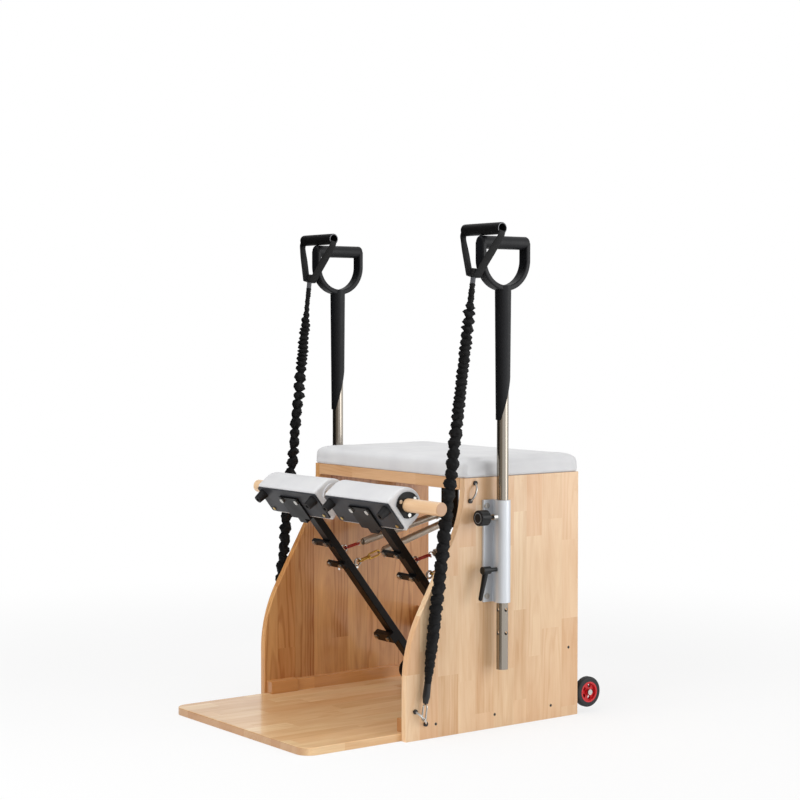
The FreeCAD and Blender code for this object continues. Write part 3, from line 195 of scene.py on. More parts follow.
for name, (where, size, watts, mirrored) in soft_boxes.items():
    lamp = bpy.data.lights.new(name, "AREA")
    lamp.shape = "DISK"
    lamp.size = size
    lamp.energy = watts
    box = bpy.data.objects.new(name, lamp)
    box.location = where
    box.rotation_euler = (lit_point - box.location).to_track_quat("-Z", "Y").to_euler()
    box.visible_glossy = mirrored
    scene.collection.objects.link(box)

camera = bpy.data.objects.new("camera", bpy.data.cameras.new("camera"))
camera.data.lens = camera_lens
camera.location = camera_place
camera.rotation_euler = (camera_aim - camera_place).to_track_quat("-Z", "Y").to_euler()
scene.collection.objects.link(camera)
scene.camera = camera


# Base board, cleats and seat board: rubberwood offcuts planed into staves, glued edge to edge,
# sanded and lacquered satin. The staves run front to back under foot and across under the seat.
stave_width_mm = 52.0
block_length_mm = 260.0
ring_spacing_mm = 8.0
tilt_per_mm = 0.14
pith_aside_mm = 26.0
pith_depth_mm = (6.0, 40.0)
ring_waver_mm = 16.0
board_jump_mm = 700.0
stave_shift = 40.0
vessel_width_mm = 1.8
vessel_length_mm = 75.0
mottle_mm = (30.0, 190.0, 30.0)
mottle_share = 0.8
vessel_share = 0.5
rosy_share = 0.4
end_grain = "#A06B42"


def finish(name):
    """A new material: itself, its tree, its shader's inputs and the coordinate outputs."""
    made = bpy.data.materials.new(name)
    made.use_nodes = True
    tree = made.node_tree
    shader = next(n for n in tree.nodes if n.type == "BSDF_PRINCIPLED")
    return made, tree, shader.inputs, add(tree, "TexCoord")


def rubberwood(name, across, along, through, middle_mm, pale, deep, rosy, blocks, figure,
               block_mm=block_length_mm):
    """Glued rubberwood staves, sanded and lacquered, each block cut from another board.

    The eye gets blocks of cream, peach and tan, long fine vessel lines, thin brown growth lines
    that arch where a block was cut flat, darker cut ends, and a soft sheen from the lacquer.
    Real vessels are a fifth of a millimetre wide, too fine for the picture, so they are drawn coarser.
    """
    made, tree, shader, coords = finish(name)
    metres = add(tree, "SeparateXYZ", (coords["Object"],))
    turned = add(tree, "CombineXYZ", (metres[across], metres[along], metres[through]))
    grain = add(tree, "VectorMath SCALE", {0: turned[0], "Scale": 1000.0})[0]
    mm = add(tree, "SeparateXYZ", (grain,))

    strip = add(tree, "Math DIVIDE", (mm["X"], stave_width_mm))[0]
    stave = add(tree, "TexVoronoi", {"W": strip, "Scale": 1.0, "Randomness": 0.55},
                voronoi_dimensions="1D")
    lot = add(tree, "SeparateColor", (stave["Color"],))
    offset = add(tree, "Math MULTIPLY", (lot[0], stave_shift))[0]
    run = add(tree, "Math MULTIPLY_ADD", (mm["Y"], 1 / block_mm, offset))[0]
    block = add(tree, "TexVoronoi", {"W": run, "Scale": 1.0, "Randomness": 0.8}, voronoi_dimensions="1D")
    chance = add(tree, "SeparateColor", (block["Color"],))

    shift = add(tree, "VectorMath MULTIPLY_ADD", (block["Color"], (board_jump_mm,) * 3, grain))[0]
    wide = add(tree, "VectorMath MULTIPLY", (shift, tuple(1 / s for s in mottle_mm)))[0]
    mottle = add(tree, "TexNoise", {"Vector": wide, "Scale": 1.0, "Detail": 2.0})[0]
    thin = (1 / vessel_width_mm, 1 / vessel_length_mm, 1 / vessel_width_mm)
    fine = add(tree, "VectorMath MULTIPLY", (shift, thin))[0]
    vessels = add(tree, "TexNoise", {"Vector": fine, "Scale": 1.0, "Detail": 3.0, "Roughness": 0.6})[0]

    aside = add(tree, "Math SUBTRACT", (strip, stave["W"]))[0]
    pith = add(tree, "MapRange", {"Value": chance[0], "To Min": -pith_aside_mm, "To Max": pith_aside_mm})[0]
    from_pith = add(tree, "Math MULTIPLY_ADD", (aside, stave_width_mm, pith))[0]
    away = add(tree, "Math SUBTRACT", (run, block["W"]))[0]
    slope = tilt_per_mm * block_mm
    lean = add(tree, "MapRange", {"Value": chance[1], "To Min": -slope, "To Max": slope})[0]
    sunk = add(tree, "MapRange",
               {"Value": chance[2], "To Min": pith_depth_mm[0], "To Max": pith_depth_mm[1]})[0]
    tilted = add(tree, "Math MULTIPLY_ADD", (away, lean, sunk))[0]
    below = add(tree, "Math SUBTRACT", (mm["Z"], middle_mm))[0]
    deep_in = add(tree, "Math ADD", (below, tilted))[0]
    spoke = add(tree, "CombineXYZ", (from_pith, deep_in))[0]
    radius = add(tree, "VectorMath LENGTH", (spoke,))["Value"]
    uneven = add(tree, "Math MULTIPLY_ADD", (mottle, ring_waver_mm, radius))[0]
    phase = add(tree, "Math MULTIPLY", (uneven, 2 * math.pi / ring_spacing_mm))[0]
    wave = add(tree, "Math SINE", (phase,))[0]
    lines = add(tree, "MapRange", {"Value": wave, "From Min": 0.2, "From Max": 1.0})[0]
    shown = add(tree, "MapRange",
                {"Value": chance[1], "From Min": 0.25, "To Min": 0.15 * figure, "To Max": figure})[0]
    growth = add(tree, "Math MULTIPLY", (lines, shown))[0]

    tone = add(tree, "MapRange",
               {"Value": chance[0], "To Min": -0.2 - blocks, "To Max": blocks - 0.2})[0]
    ringed = add(tree, "Math ADD", (growth, tone))[0]
    patchy = add(tree, "Math MULTIPLY_ADD", (mottle, mottle_share, ringed))[0]
    streaky = add(tree, "Math MULTIPLY_ADD", (vessels, vessel_share, patchy), use_clamp=True)[0]
    body = add(tree, "Mix", {0: streaky, 6: srgb(pale), 7: srgb(deep)}, data_type="RGBA")[2]
    blush = add(tree, "Math MULTIPLY", (chance[2], rosy_share))[0]
    warm = add(tree, "Mix", {0: blush, 6: body, 7: srgb(rosy)}, data_type="RGBA")[2]
    facing = add(tree, "SeparateXYZ", (coords["Normal"],))
    end_on = add(tree, "Math ABSOLUTE", (facing[along],))[0]
    ends = add(tree, "MapRange", {"Value": end_on, "From Min": 0.55, "From Max": 0.95, "To Max": 0.62})[0]
    whole = add(tree, "Mix", {0: ends, 6: warm, 7: srgb(end_grain)}, data_type="RGBA")[2]
    sheen = add(tree, "MapRange", {"Value": vessels, "To Min": 0.34, "To Max": 0.52})
    relief = add(tree, "Bump", {"Strength": 0.2, "Distance": 0.0002, "Height": vessels})
    fill(tree, shader, {"Base Color": whole, "Roughness": sheen[0], "Normal": relief[0], "IOR": 1.5,
                        "Coat Weight": 0.5, "Coat Roughness": 0.14})
    return made


def dress(material, *names):
    """Gives CAD nodes their finish."""
    for name in names:
        for slot in nodes[name].material_slots:
            slot.material = material


board_wood = rubberwood("rubberwood_staves_front_to_back", "X", "Y", "Z", 9,
                        "#F6DAAB", "#C2884B", "#E0A66F", 0.24, 0.3)
seat_wood = rubberwood("rubberwood_staves_across", "Y", "X", "Z", 586,
                       "#EBC498", "#B57E4B", "#D49A68", 0.24, 0.3)
cleat_wood = rubberwood("rubberwood_cleats", "X", "Y", "Z", 40, "#E6AE70", "#A2672E", "#D49054", 0.24, 0.3)
dress(board_wood, "base_board")
dress(seat_wood, "seat_board")
dress(cleat_wood, "cleats_and_rails")


# Side panels: the same rubberwood with upright staves, cut to a swept front edge with its
# corners eased, then lacquered. The left one is glued up from longer and browner boards, and
# its colours are darker still as painted shade, for the shade on its inner face.
long_board_mm = 900.0
pale_panel = rubberwood("rubberwood_staves_upright_pale", "Y", "Z", "X", 302,
                        "#F6DCB6", "#CC9762", "#E8B68A", 0.2, 0.3)
# Painted shade: the left panel's colours are darker and browner than its boards alone, for the shade inside the
# frame.
brown_and_shaded_panel = rubberwood("rubberwood_staves_upright_brown_with_painted_shade", "Y", "Z", "X", -302,
                         "#EBB97A", "#985620", "#D28F50", 0.16, 0.6, block_mm=long_board_mm)
dress(pale_panel, "right_side_panel")
dress(brown_and_shaded_panel, "left_side_panel")


# Seat cushion: a foam slab under white upholstery vinyl, pulled over the seat board's edge and
# stapled below. It is full at the sides, round at the shoulders and slightly crowned.
seat_low, seat_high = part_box("seat_pad")
seat_corner = 0.016
seat_slack = 0.003
seat_foot_draw = 0.004
seat_shoulder = 0.014
seat_levels = 9
seat_tuck = 0.006
seat_stapled = 0.003
seat_voxel = 0.005
seat_swell = 0.005
foam_pressure = 4.0
swell_frames = 20
vinyl_grain_mm = 2.4
vinyl_pull_mm = 70.0
vinyl_white = "#DCDCDD"
vinyl_shade = "#D5D5D7"


def upholstery_vinyl(name):
    """Calendered vinyl cloth: off-white, a broad soft highlight, faint dimples where it is pulled.

    Its pebble grain is under a millimetre, too fine for the picture, so it is drawn coarser.
    """
    made, tree, shader, coords = finish(name)
    pebbles = add(tree, "TexVoronoi",
                  {"Vector": coords["Object"], "Scale": 1000 / vinyl_grain_mm, "Randomness": 1.0},
                  feature="SMOOTH_F1")
    pulls = add(tree, "TexNoise", {"Vector": coords["Object"], "Scale": 1000 / vinyl_pull_mm, "Detail": 2.0})
    shade = add(tree, "MapRange", {"Value": pulls["Fac"], "From Min": 0.35, "From Max": 0.7})
    body = add(tree, "Mix", {0: shade[0], 6: srgb(vinyl_white), 7: srgb(vinyl_shade)}, data_type="RGBA")
    gloss = add(tree, "MapRange", {"Value": pebbles["Distance"], "To Min": 0.42, "To Max": 0.56})
    skin = add(tree, "Bump", {"Strength": 0.12, "Distance": 0.0003, "Height": pebbles["Distance"]})
    soft = add(tree, "Bump",
               {"Strength": 0.08, "Distance": 0.002, "Height": pulls["Fac"], "Normal": skin[0]})
    fill(tree, shader, {"Base Color": body[2], "Roughness": gloss[0], "Normal": soft[0], "IOR": 1.53,
                        "Sheen Weight": 0.05})
    return made


def settled(piece):
    """Turns a piece's modifiers into plain mesh."""
    graph = bpy.context.evaluated_depsgraph_get()
    mesh = bpy.data.meshes.new_from_object(piece.evaluated_get(graph))
    piece.modifiers.clear()
    piece.data = mesh
    return piece


def swell(piece, voxel, cap, held, rounds=3):
    """Fills a pad as its foam does: remeshed, blown up as cloth, capped, then smoothed once."""
    remesh = piece.modifiers.new("remesh", "REMESH")
    remesh.mode = "VOXEL"
    remesh.voxel_size = voxel
    even = piece.modifiers.new("even", "SMOOTH")
    even.factor = 0.5
    even.iterations = rounds
    settled(piece)
    start = [v.co.copy() for v in piece.data.vertices]
    group = piece.vertex_groups.new(name="held")
    group.add([n for n, co in enumerate(start) if held(co)], 1.0, "REPLACE")
    cloth = piece.modifiers.new("cloth", "CLOTH")
    cloth.settings.use_pressure = True
    cloth.settings.uniform_pressure_force = foam_pressure
    cloth.settings.vertex_group_mass = "held"
    cloth.settings.effector_weights.gravity = 0.0
    cloth.collision_settings.use_collision = False
    cloth.point_cache.frame_start = 1
    cloth.point_cache.frame_end = swell_frames
    for step in range(1, swell_frames + 1):
        scene.frame_set(step)
    settled(piece)
    scene.frame_set(1)
    piece.vertex_groups.clear()
    for vertex, co in zip(piece.data.vertices, start):
        move = vertex.co - co
        if move.length > cap:
            vertex.co = co + move.normalized() * cap
    smooth = piece.modifiers.new("smooth", "SUBSURF")
    smooth.levels = smooth.render_levels = 1
    settled(piece)
    piece.data.polygons.foreach_set("use_smooth", [True] * len(piece.data.polygons))
    return piece


def drawn_to_size(piece, low, high, axes, own=Matrix()):
    """Stretches a pad to the size that it was cut to, along some axes of its own frame."""
    inside = own.inverted()
    places = [inside @ v.co for v in piece.data.vertices]
    for axis in axes:
        start, end = min(p[axis] for p in places), max(p[axis] for p in places)
        for place in places:
            place[axis] = low[axis] + (place[axis] - start) / (end - start) * (high[axis] - low[axis])
    for vertex, place in zip(piece.data.vertices, places):
        vertex.co = own @ place


def skinned(name, rings, closed_ends=True, closed_loop=False):
    """A mesh through rings of points, one after the other."""
    shape = bmesh.new()
    rows = [[shape.verts.new(p) for p in ring] for ring in rings]
    for low, high in zip(rows, rows[1:] + (rows[:1] if closed_loop else [])):
        for n in range(len(low)):
            shape.faces.new((low[n - 1], low[n], high[n], high[n - 1]))
    if closed_ends:
        shape.faces.new(rows[0][::-1])
        shape.faces.new(rows[-1])
    bmesh.ops.recalc_face_normals(shape, faces=shape.faces)
    return built(name, shape)


def rounded_plan(low, high, corner, z, inset, per_corner=6):
    """A rectangle with round corners, as points at one height."""
    points = []
    x0, y0, x1, y1 = low.x + inset, low.y + inset, high.x - inset, high.y - inset
    corners = ((x1 - corner, y0 + corner, -90), (x1 - corner, y1 - corner, 0),
               (x0 + corner, y1 - corner, 90), (x0 + corner, y0 + corner, 180))
    for cx, cy, turn in corners:
        for n in range(per_corner + 1):
            angle = math.radians(turn + 90 * n / per_corner)
            points.append((cx + corner * math.cos(angle), cy + corner * math.sin(angle), z))
    return points


white_vinyl = upholstery_vinyl("white_upholstery_vinyl")
seat_thick = seat_high.z - seat_low.z - seat_slack
seat_rings = [rounded_plan(seat_low, seat_high, seat_corner, seat_low.z, seat_slack + seat_foot_draw),
              rounded_plan(seat_low, seat_high, seat_corner, seat_low.z + seat_tuck, seat_slack)]
for n in range(seat_levels):
    angle = math.radians(90 * n / (seat_levels - 1))
    seat_rings.append(rounded_plan(
        seat_low, seat_high, seat_corner,
        seat_low.z + seat_thick - seat_shoulder * (1 - math.sin(angle)),
        seat_slack + seat_shoulder * (1 - math.cos(angle))))
seat = skinned("seat_cushion", seat_rings)
seat.data.materials.append(white_vinyl)
swell(seat, seat_voxel, seat_swell, lambda co: co.z < seat_low.z + seat_stapled)
drawn_to_size(seat, seat_low, seat_high, (0, 1))
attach(seat, "frame")
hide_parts("seat_pad")


# Pedal arms, hubs, plates and brackets: welded mild steel under black powder coat, turning on
# an axle between two pedestals that are bolted to the board. The spring eyes are bright zinc,
# and the rings between the pedals are white nylon.
coat_grain_mm = 1.6
coat_rub_mm = 90.0
arm_lean = math.radians(38)
pivot = Vector((0.0, 0.22525, 0.050))
eye_from_y = 0.0106
eye_from_z = 0.3
inner_ring_face = 0.0213


def scaled(code, times):
    """A colour made lighter or darker, in linear light."""
    return (*[c * times for c in srgb(code)[:3]], 1.0)


def patterned(name, tones, scale, detail, gloss, relief=None, constants=None):
    """A finish with two tones and a gloss in patches, and a fine relief.

    The scale is the patches' along each axis. The gloss is the noise's range and the roughness there,
    and the relief is its grain in mm, detail, strength and depth.
    """
    made, tree, shader, coords = finish(name)
    stretched = add(tree, "VectorMath MULTIPLY", (coords["Object"], scale))
    patches = add(tree, "TexNoise", {"Vector": stretched[0], "Scale": 1.0, "Detail": detail})["Fac"]
    body = add(tree, "Mix", {0: patches, 6: tones[0], 7: tones[1]}, data_type="RGBA")[2]
    limits = dict(zip(("From Min", "From Max", "To Min", "To Max"), gloss))
    rough = add(tree, "MapRange", {"Value": patches, **limits})[0]
    fill(tree, shader, {"Base Color": body, "Roughness": rough, **(constants or {})})
    if relief:
        grain_mm, fineness, strength, depth = relief
        grain = add(tree, "TexNoise",
                    {"Vector": coords["Object"], "Scale": 1000 / grain_mm, "Detail": fineness})["Fac"]
        bump = add(tree, "Bump", {"Strength": strength, "Distance": depth, "Height": grain})[0]
        fill(tree, shader, {"Normal": bump})
    return made


def powder_coat(name, colour, roughness):
    """Baked polyester powder on steel: near black, satin, with a slight orange peel.

    The peel is drawn a little coarser than it is so that it shows.
    """
    return patterned(name, (srgb(colour), scaled(colour, 1.35)), [1000 / coat_rub_mm] * 3, 3.0,
                     (0.35, 0.65, roughness - 0.05, roughness + 0.07), (coat_grain_mm, 2.0, 0.15, 0.0002),
                     {"Specular IOR Level": 0.24})


def within(tree, value, low, high):
    """1 where a value lies between two limits, else 0."""
    above = add(tree, "Math GREATER_THAN", (value, low))[0]
    below = add(tree, "Math LESS_THAN", (value, high))[0]
    return add(tree, "Math MULTIPLY", (above, below))[0]


def spots(made):
    """A finish's node tree, the coordinates of a place on it, and how far it is from the middle plane."""
    tree = made.node_tree
    place = add(tree, "SeparateXYZ", (add(tree, "TexCoord")["Object"],))
    return tree, place, add(tree, "Math ABSOLUTE", (place["X"],))[0]


def patched(made, colour, metal, gloss, mask, other=1.0):
    """Gives part of a finish, where the masks are 1, another colour, metal and gloss."""
    tree = made.node_tree
    mask = add(tree, "Math MULTIPLY", (mask, other))[0]
    shader = next(n for n in tree.nodes if n.type == "BSDF_PRINCIPLED")
    for name, value in (("Base Color", srgb(colour)), ("Metallic", metal), ("Roughness", gloss)):
        socket = shader.inputs[name]
        kind, first, out = ("RGBA", 6, 2) if name == "Base Color" else ("FLOAT", 2, 0)
        was = socket.links[0].from_socket if socket.links else socket.default_value
        mixed = add(tree, "Mix", {0: mask, first: was, first + 1: value}, data_type=kind)
        tree.links.new(mixed[out], socket)


def on_arm(made):
    """A finish's node tree, and a place on the arm from its pivot: across, behind and along the tube."""
    tree = made.node_tree
    place = add(tree, "TexCoord")["Object"]
    local = add(tree, "Mapping",
                {"Vector": place, "Location": pivot, "Rotation": (arm_lean, 0, 0)}, vector_type="TEXTURE")
    return tree, add(tree, "SeparateXYZ", (local[0],))


frame_coat = powder_coat("black_powder_coat", "#0A0A0B", 0.4)
arm_coat = powder_coat("black_powder_coat_and_zinc_eyes", "#0A0A0B", 0.4)
# Painted reflection: the plates' coat is a lighter grey than the arms' black, for the bright room that they reflect
# at a grazing angle.
plate_coat_with_painted_reflection = powder_coat("black_powder_coat_with_painted_reflection", "#303135", 0.45)
tree, local = on_arm(arm_coat)
patched(arm_coat, "#C4C2BC", 1.0, 0.25, within(tree, local["Y"], eye_from_y, 1.0),
        within(tree, local["Z"], eye_from_z, 1.0))
ring_coat = powder_coat("black_powder_coat_and_white_nylon", "#0A0A0B", 0.4)
tree, place, outward = spots(ring_coat)
patched(ring_coat, "#CFCFD1", 0.0, 0.5, within(tree, outward, -1.0, inner_ring_face))
dress(frame_coat, "pivot_pedestals", "racks_and_wheel_brackets")
for side in SIDES:
    dress(arm_coat, side + "_arm")
    dress(ring_coat, side + "_arm_fittings")
    dress(plate_coat_with_painted_reflection, side + "_pedal_plate")


# Axle, bolts and screws: turned steel with bright zinc plating. The screws at the pedals' lower
# corners are brass plated, the panels' lower screws are blackened, and wood plugs hide the upper ones.
panel_face = (0.3005, 0.3135)
plug_height = 0.5
low_on_plate = (0.57, 0.592)
plate_front_y = -0.020


def plated_steel(name, colour, roughness, streaks):
    """Zinc or nickel plate on steel: a bright mirror broken by fine lines from turning or drawing.

    The streaks are how many lines there are in a metre along each axis, drawn coarser than real ones.
    """
    return patterned(name, (srgb(colour), scaled(colour, 0.75)), streaks, 3.0,
                     (0.3, 0.7, roughness - 0.06, roughness + 0.08), constants={"Metallic": 1.0})


zinc = plated_steel("bright_zinc_plate", "#CFCDC8", 0.28, (900, 900, 900))
dress(zinc, "pivot_axle")
for side in SIDES:
    dress(zinc, side + "_upper_collar", side + "_lower_collar")

frame_screws = plated_steel("zinc_and_blackened_screws", "#CFCDC8", 0.28, (900, 900, 900))
tree, place, outward = spots(frame_screws)
in_panel = within(tree, outward, *panel_face)
patched(frame_screws, "#16130F", 0.0, 0.55, in_panel)
patched(frame_screws, "#E3BD93", 0.0, 0.5, in_panel, within(tree, place["Z"], plug_height, 1.0))
dress(frame_screws, "frame_fasteners")

pedal_screws = plated_steel("zinc_and_brass_screws", "#CFCDC8", 0.28, (900, 900, 900))
tree, local = on_arm(pedal_screws)
patched(pedal_screws, "#C7A867", 1.0, 0.3, within(tree, local["Z"], *low_on_plate),
        within(tree, local["Y"], -1.0, plate_front_y))
dress(pedal_screws, *[side + "_pedal_bolts" for side in SIDES])


# Pedals: a timber block screwed to the plate, wrapped in foam and the same white vinyl, with
# flat sewn ends, a back rounded like a loaf, and a bore for the rod between two flanges.
pedal_half = 0.12875
plate_half = 0.0385
plate_back = -0.0234
pad_flare = 0.007
pad_flare_depth = 0.0354
pad_lip = 0.003
rod_back = 0.015
plate_middle = 0.6145
arm_reach = 0.150
bore_radius = 0.020
flange_hold = 0.033
pad_slack = 0.0012
pad_swell = 0.0022
pad_voxel = 0.003
pad_tacked = 0.003
pad_seam = 0.0004
pad_edge = (0.0012, 0.0022)
pad_lip_shape = ((0.014, 0.0), (0.005, 0.9), (0.0012, 1.0))
pad_end_rounding = ((0.0, 0.0024), (0.0008, 0.0009), (0.0024, 0.0002), (0.006, 0.0))
arm_frame = Matrix.Translation(pivot) @ Matrix.Rotation(arm_lean, 4, "X")
to_arm = arm_frame.inverted()


def loaf_ring(x, inset):
    """The pedal's section: flat on the plate, edges that stand out past it, and a round back."""
    half = plate_half - inset
    wide = plate_half + pad_flare - inset
    middle = plate_back + pad_flare_depth
    seam = plate_back + pad_seam
    edge = [(seam, half), (seam, wide - pad_edge[0]), (plate_back + pad_edge[1], wide)]
    back = [math.radians(90 - 180 * n / 24) for n in range(25)]
    section = edge + [(middle + wide * math.cos(a), wide * math.sin(a)) for a in back]
    section += [(plate_back + behind, -wide - pad_lip * out) for behind, out in pad_lip_shape]
    section.append((seam, -half))
    return [arm_frame @ Vector((x, y, plate_middle + z)) for y, z in section]


def bore_ring(x):
    """One end of the rod's bore."""
    turns = [2 * math.pi * n / 32 for n in range(32)]
    return [arm_frame @ Vector((x, rod_back + bore_radius * math.cos(t), plate_middle + bore_radius * math.sin(t)))
            for t in turns]


for side, way in SIDES.items():
    centre = way * arm_reach
    reach = pedal_half - pad_slack
    ends = [(step - reach, inset) for step, inset in pad_end_rounding]
    ends += [(reach - step, inset) for step, inset in pad_end_rounding[::-1]]
    loaf = skinned(side + "_pedal_upholstery",
                   [loaf_ring(centre + x, pad_slack + inset) for x, inset in ends])
    borer = skinned("borer", [bore_ring(centre - 2 * reach), bore_ring(centre + 2 * reach)])
    cut = loaf.modifiers.new("bore", "BOOLEAN")
    cut.object = borer
    cut.solver = "EXACT"
    settled(loaf)
    bpy.data.objects.remove(borer)
    loaf.data.materials.clear()
    loaf.data.materials.append(white_vinyl)

    def on_wood(co):
        """True where the vinyl is tacked to the block or lies under a flange."""
        local = to_arm @ co
        from_rod = math.hypot(local.y - rod_back, local.z - plate_middle)
        return local.y < plate_back + pad_tacked or from_rod < flange_hold

    swell(loaf, pad_voxel, pad_swell, on_wood, rounds=1)
    wide = plate_half + pad_flare
    drawn_to_size(loaf, Vector((centre - pedal_half, plate_back, plate_middle - wide - pad_lip)),
                  Vector((centre + pedal_half, plate_back + pad_flare_depth + wide, plate_middle + wide)),
                  (0, 1, 2), arm_frame)
    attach(loaf, side + "_pedal")
    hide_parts(side + "_pedal_pad")

dress(seat_wood, *[side + "_pedal_core" for side in SIDES])


# Pedal rod: a turned beech dowel, sanded and oiled, that slides through both pedals and locks
# them together. Its ends are eased and show pinkish end grain.
dress(rubberwood("turned_beech", "Y", "X", "Z", 543, "#F4D8B2", "#D3A474", "#E6BC94", 0.1, 0.12), "pedal_rod")


# Bumpers and tyres: black rubber, moulded, matt with a dusty bloom. The bumpers are screwed to the
# pedal plates, and the tyres are stretched over their hubs.
bloom_mm = 60.0


def moulded(name, colour, roughness, grain_mm, depth, shine=0.5):
    """Injection moulded rubber or plastic: even colour, spark-eroded texture, soft broad gloss.

    The real texture is too fine for the picture, so it is drawn about a millimetre wide.
    """
    return patterned(name, (srgb(colour), scaled(colour, 1.3)), [1000 / bloom_mm] * 3, 3.0,
                     (0.3, 0.7, roughness - 0.05, roughness + 0.06), (grain_mm, 3.0, 0.2, depth),
                     {"Specular IOR Level": shine})


rubber = moulded("black_moulded_rubber", "#101012", 0.6, 1.2, 0.0002)
for side in SIDES:
    dress(rubber, side + "_bumpers", side + "_wheel_tyre")


# Wheel hubs: red polypropylene mouldings with round windows, pressed into the tyres and turning on
# steel axles behind the panels.
red_plastic = moulded("red_polypropylene", "#C41B23", 0.34, 1.5, 0.0001)
dress(red_plastic, *[side + "_wheel_hub" for side in SIDES])


# Springs: close-wound extension coils of drawn spring wire. A hook at the front holds a clip
# on the arm's eye, and the rear end is drawn in to a stub on the rack's bolt.
coil_radius = 0.008
wire_radius = 0.0015
wire_sides = 7
points_per_turn = 18
wires_per_turn = 2.06
hook_radius = 0.0062
hook_from = -100
hook_sweep = 280
hook_steps = 14
hook_neck = 0.003
clip_wire = 0.0022
front_draw = (0.15, 1.4)
rear_draw = (0.1, 1.1)
coil_end, stub_start, stub_end = 0.016, 0.011, 0.0012
spring_spread = 0.012
rack_face_y = 0.31125
# Each spring: the eye's place behind and above, the bolt's height, the step aside, the clip's length, the hook.
springs = {
    "upper": ((-0.012515, 0.390882), 0.464, -spring_spread, 0.0475, "flat"),
    "lower": ((0.013953, 0.356988), 0.446, spring_spread, 0.0708, "upright"),
}


def shape_tree(name, inputs):
    """A node tree with the named inputs for a line of edges, its inputs' sockets, and the line as a curve."""
    tree = bpy.data.node_groups.new(name, "GeometryNodeTree")
    tree.interface.new_socket("Geometry", in_out="OUTPUT", socket_type="NodeSocketGeometry")
    tree.interface.new_socket("Geometry", in_out="INPUT", socket_type="NodeSocketGeometry")
    for label, kind in inputs.items():
        tree.interface.new_socket(label, in_out="INPUT", socket_type=kind)
    given = add(tree, "NodeGroupInput")
    return tree, given, add(tree, "GeometryNodeMeshToCurve", {"Mesh": given["Geometry"]})[0]


def hand_out(tree, geometry, finish):
    """Ends a node tree with one real mesh that has its finish, and gives the tree."""
    real = add(tree, "GeometryNodeRealizeInstances", {"Geometry": geometry})
    finished = add(tree, "GeometryNodeSetMaterial", {"Geometry": real[0], "Material": finish})
    add(tree, "NodeGroupOutput", {"Geometry": finished[0]})
    return tree


def grown(name, start, tree, sizes):
    """Runs a node tree on a starting mesh and keeps the result as a plain mesh."""
    made = put(name, start)
    step = made.modifiers.new("shape", "NODES")
    step.node_group = tree
    for item in tree.interface.items_tree:
        if item.in_out == "INPUT" and item.name in sizes:
            step[item.identifier] = sizes[item.name]
    return settled(made)


def threaded(name, points, values=None):
    """A mesh of edges that runs through points in order, with values kept at each point."""
    mesh = bpy.data.meshes.new(name)
    mesh.from_pydata([tuple(p) for p in points], [(n, n + 1) for n in range(len(points) - 1)], [])
    for label, numbers in (values or {}).items():
        mesh.attributes.new(label, "FLOAT", "POINT").data.foreach_set("value", numbers)
    return mesh


tree, given, line = shape_tree("wire_along_a_path", {
    "Wire radius": "NodeSocketFloat", "Sides": "NodeSocketInt", "Finish": "NodeSocketMaterial"})
section = add(tree, "GeometryNodeCurvePrimitiveCircle",
              {"Resolution": given["Sides"], "Radius": given["Wire radius"]})
drawn = add(tree, "GeometryNodeCurveToMesh",
            {"Curve": line, "Profile Curve": section[0], "Fill Caps": True})
rounded = add(tree, "GeometryNodeSetShadeSmooth", {"Geometry": drawn[0]})
wire_tree = hand_out(tree, rounded[0], given["Finish"])

spring_wire = plated_steel("drawn_spring_wire", "#D8D1C6", 0.34, (700, 700, 700))
for side, way in SIDES.items():
    for level, (eye, rack_z, spread, clip_end, hook_lies) in springs.items():
        x = way * arm_reach + spread
        eye_at = Vector((x, *eye))
        rack_at = Vector((x, rack_face_y, rack_z))
        run = (rack_at - eye_at).normalized()
        aside, above = Vector((1, 0, 0)), Vector((1, 0, 0)).cross(run)
        hook_side = above if hook_lies == "flat" else aside
        hook_at = eye_at + run * (clip_end - clip_wire - wire_radius + hook_radius)
        path = []
        for n in range(hook_steps + 1):
            angle = math.radians(hook_from + hook_sweep * n / hook_steps)
            path.append(hook_at - run * hook_radius * math.cos(angle) + hook_side * hook_radius * math.sin(angle))
        coil_from = hook_at + run * (hook_radius + hook_neck)
        coil_to = rack_at - run * coil_end
        pitch = wires_per_turn * wire_radius
        turns = int((coil_to - coil_from).length / pitch)
        pitch = (coil_to - coil_from).length / turns
        for n in range(turns * points_per_turn + 1):
            turn = n / points_per_turn
            angle = 2 * math.pi * turn
            draw_in = min(1.0, front_draw[0] + front_draw[1] * turn,
                          rear_draw[0] + rear_draw[1] * (turns - turn))
            spoke = aside * math.cos(angle) + above * math.sin(angle)
            path.append(coil_from + run * pitch * turn + spoke * coil_radius * draw_in)
        path += [rack_at - run * stub_start, rack_at - run * stub_end]
        coil = grown(f"{side}_{level}_spring_coil", threaded("spring_line", path), wire_tree,
                     {"Wire radius": wire_radius, "Sides": wire_sides, "Finish": spring_wire})
        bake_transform(coil)
        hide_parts(f"{side}_{level}_spring")


# Spring clips: bent steel wire links between the arms' eyes and the springs, dipped red on the
# upper springs and plated yellow on the lower ones.
red_dip = moulded("red_dipped_wire", "#9A2A22", 0.35, 1.0, 0.0001)
yellow_dip = plated_steel("yellow_zinc_wire", "#D9B25A", 0.28, (700, 700, 700))
for side in SIDES:
    dress(red_dip, side + "_upper_clips")
    dress(yellow_dip, side + "_lower_clips")


# Pole brackets: aluminium extrusions with a flange, a neck and a round barrel, sawn off, blasted
# and anodised silver, then bolted to the panels.
def anodised(name, colour, shade):
    """Blasted and anodised extrusion: pale even metal, faint die lines up its length, soft gloss.

    The lines are drawn about a millimetre apart, coarser than real ones.
    """
    return patterned(name, (srgb(colour), srgb(shade)), (900, 900, 6), 2.0, (0.0, 1.0, 0.36, 0.52),
                     constants={"Metallic": 0.55})


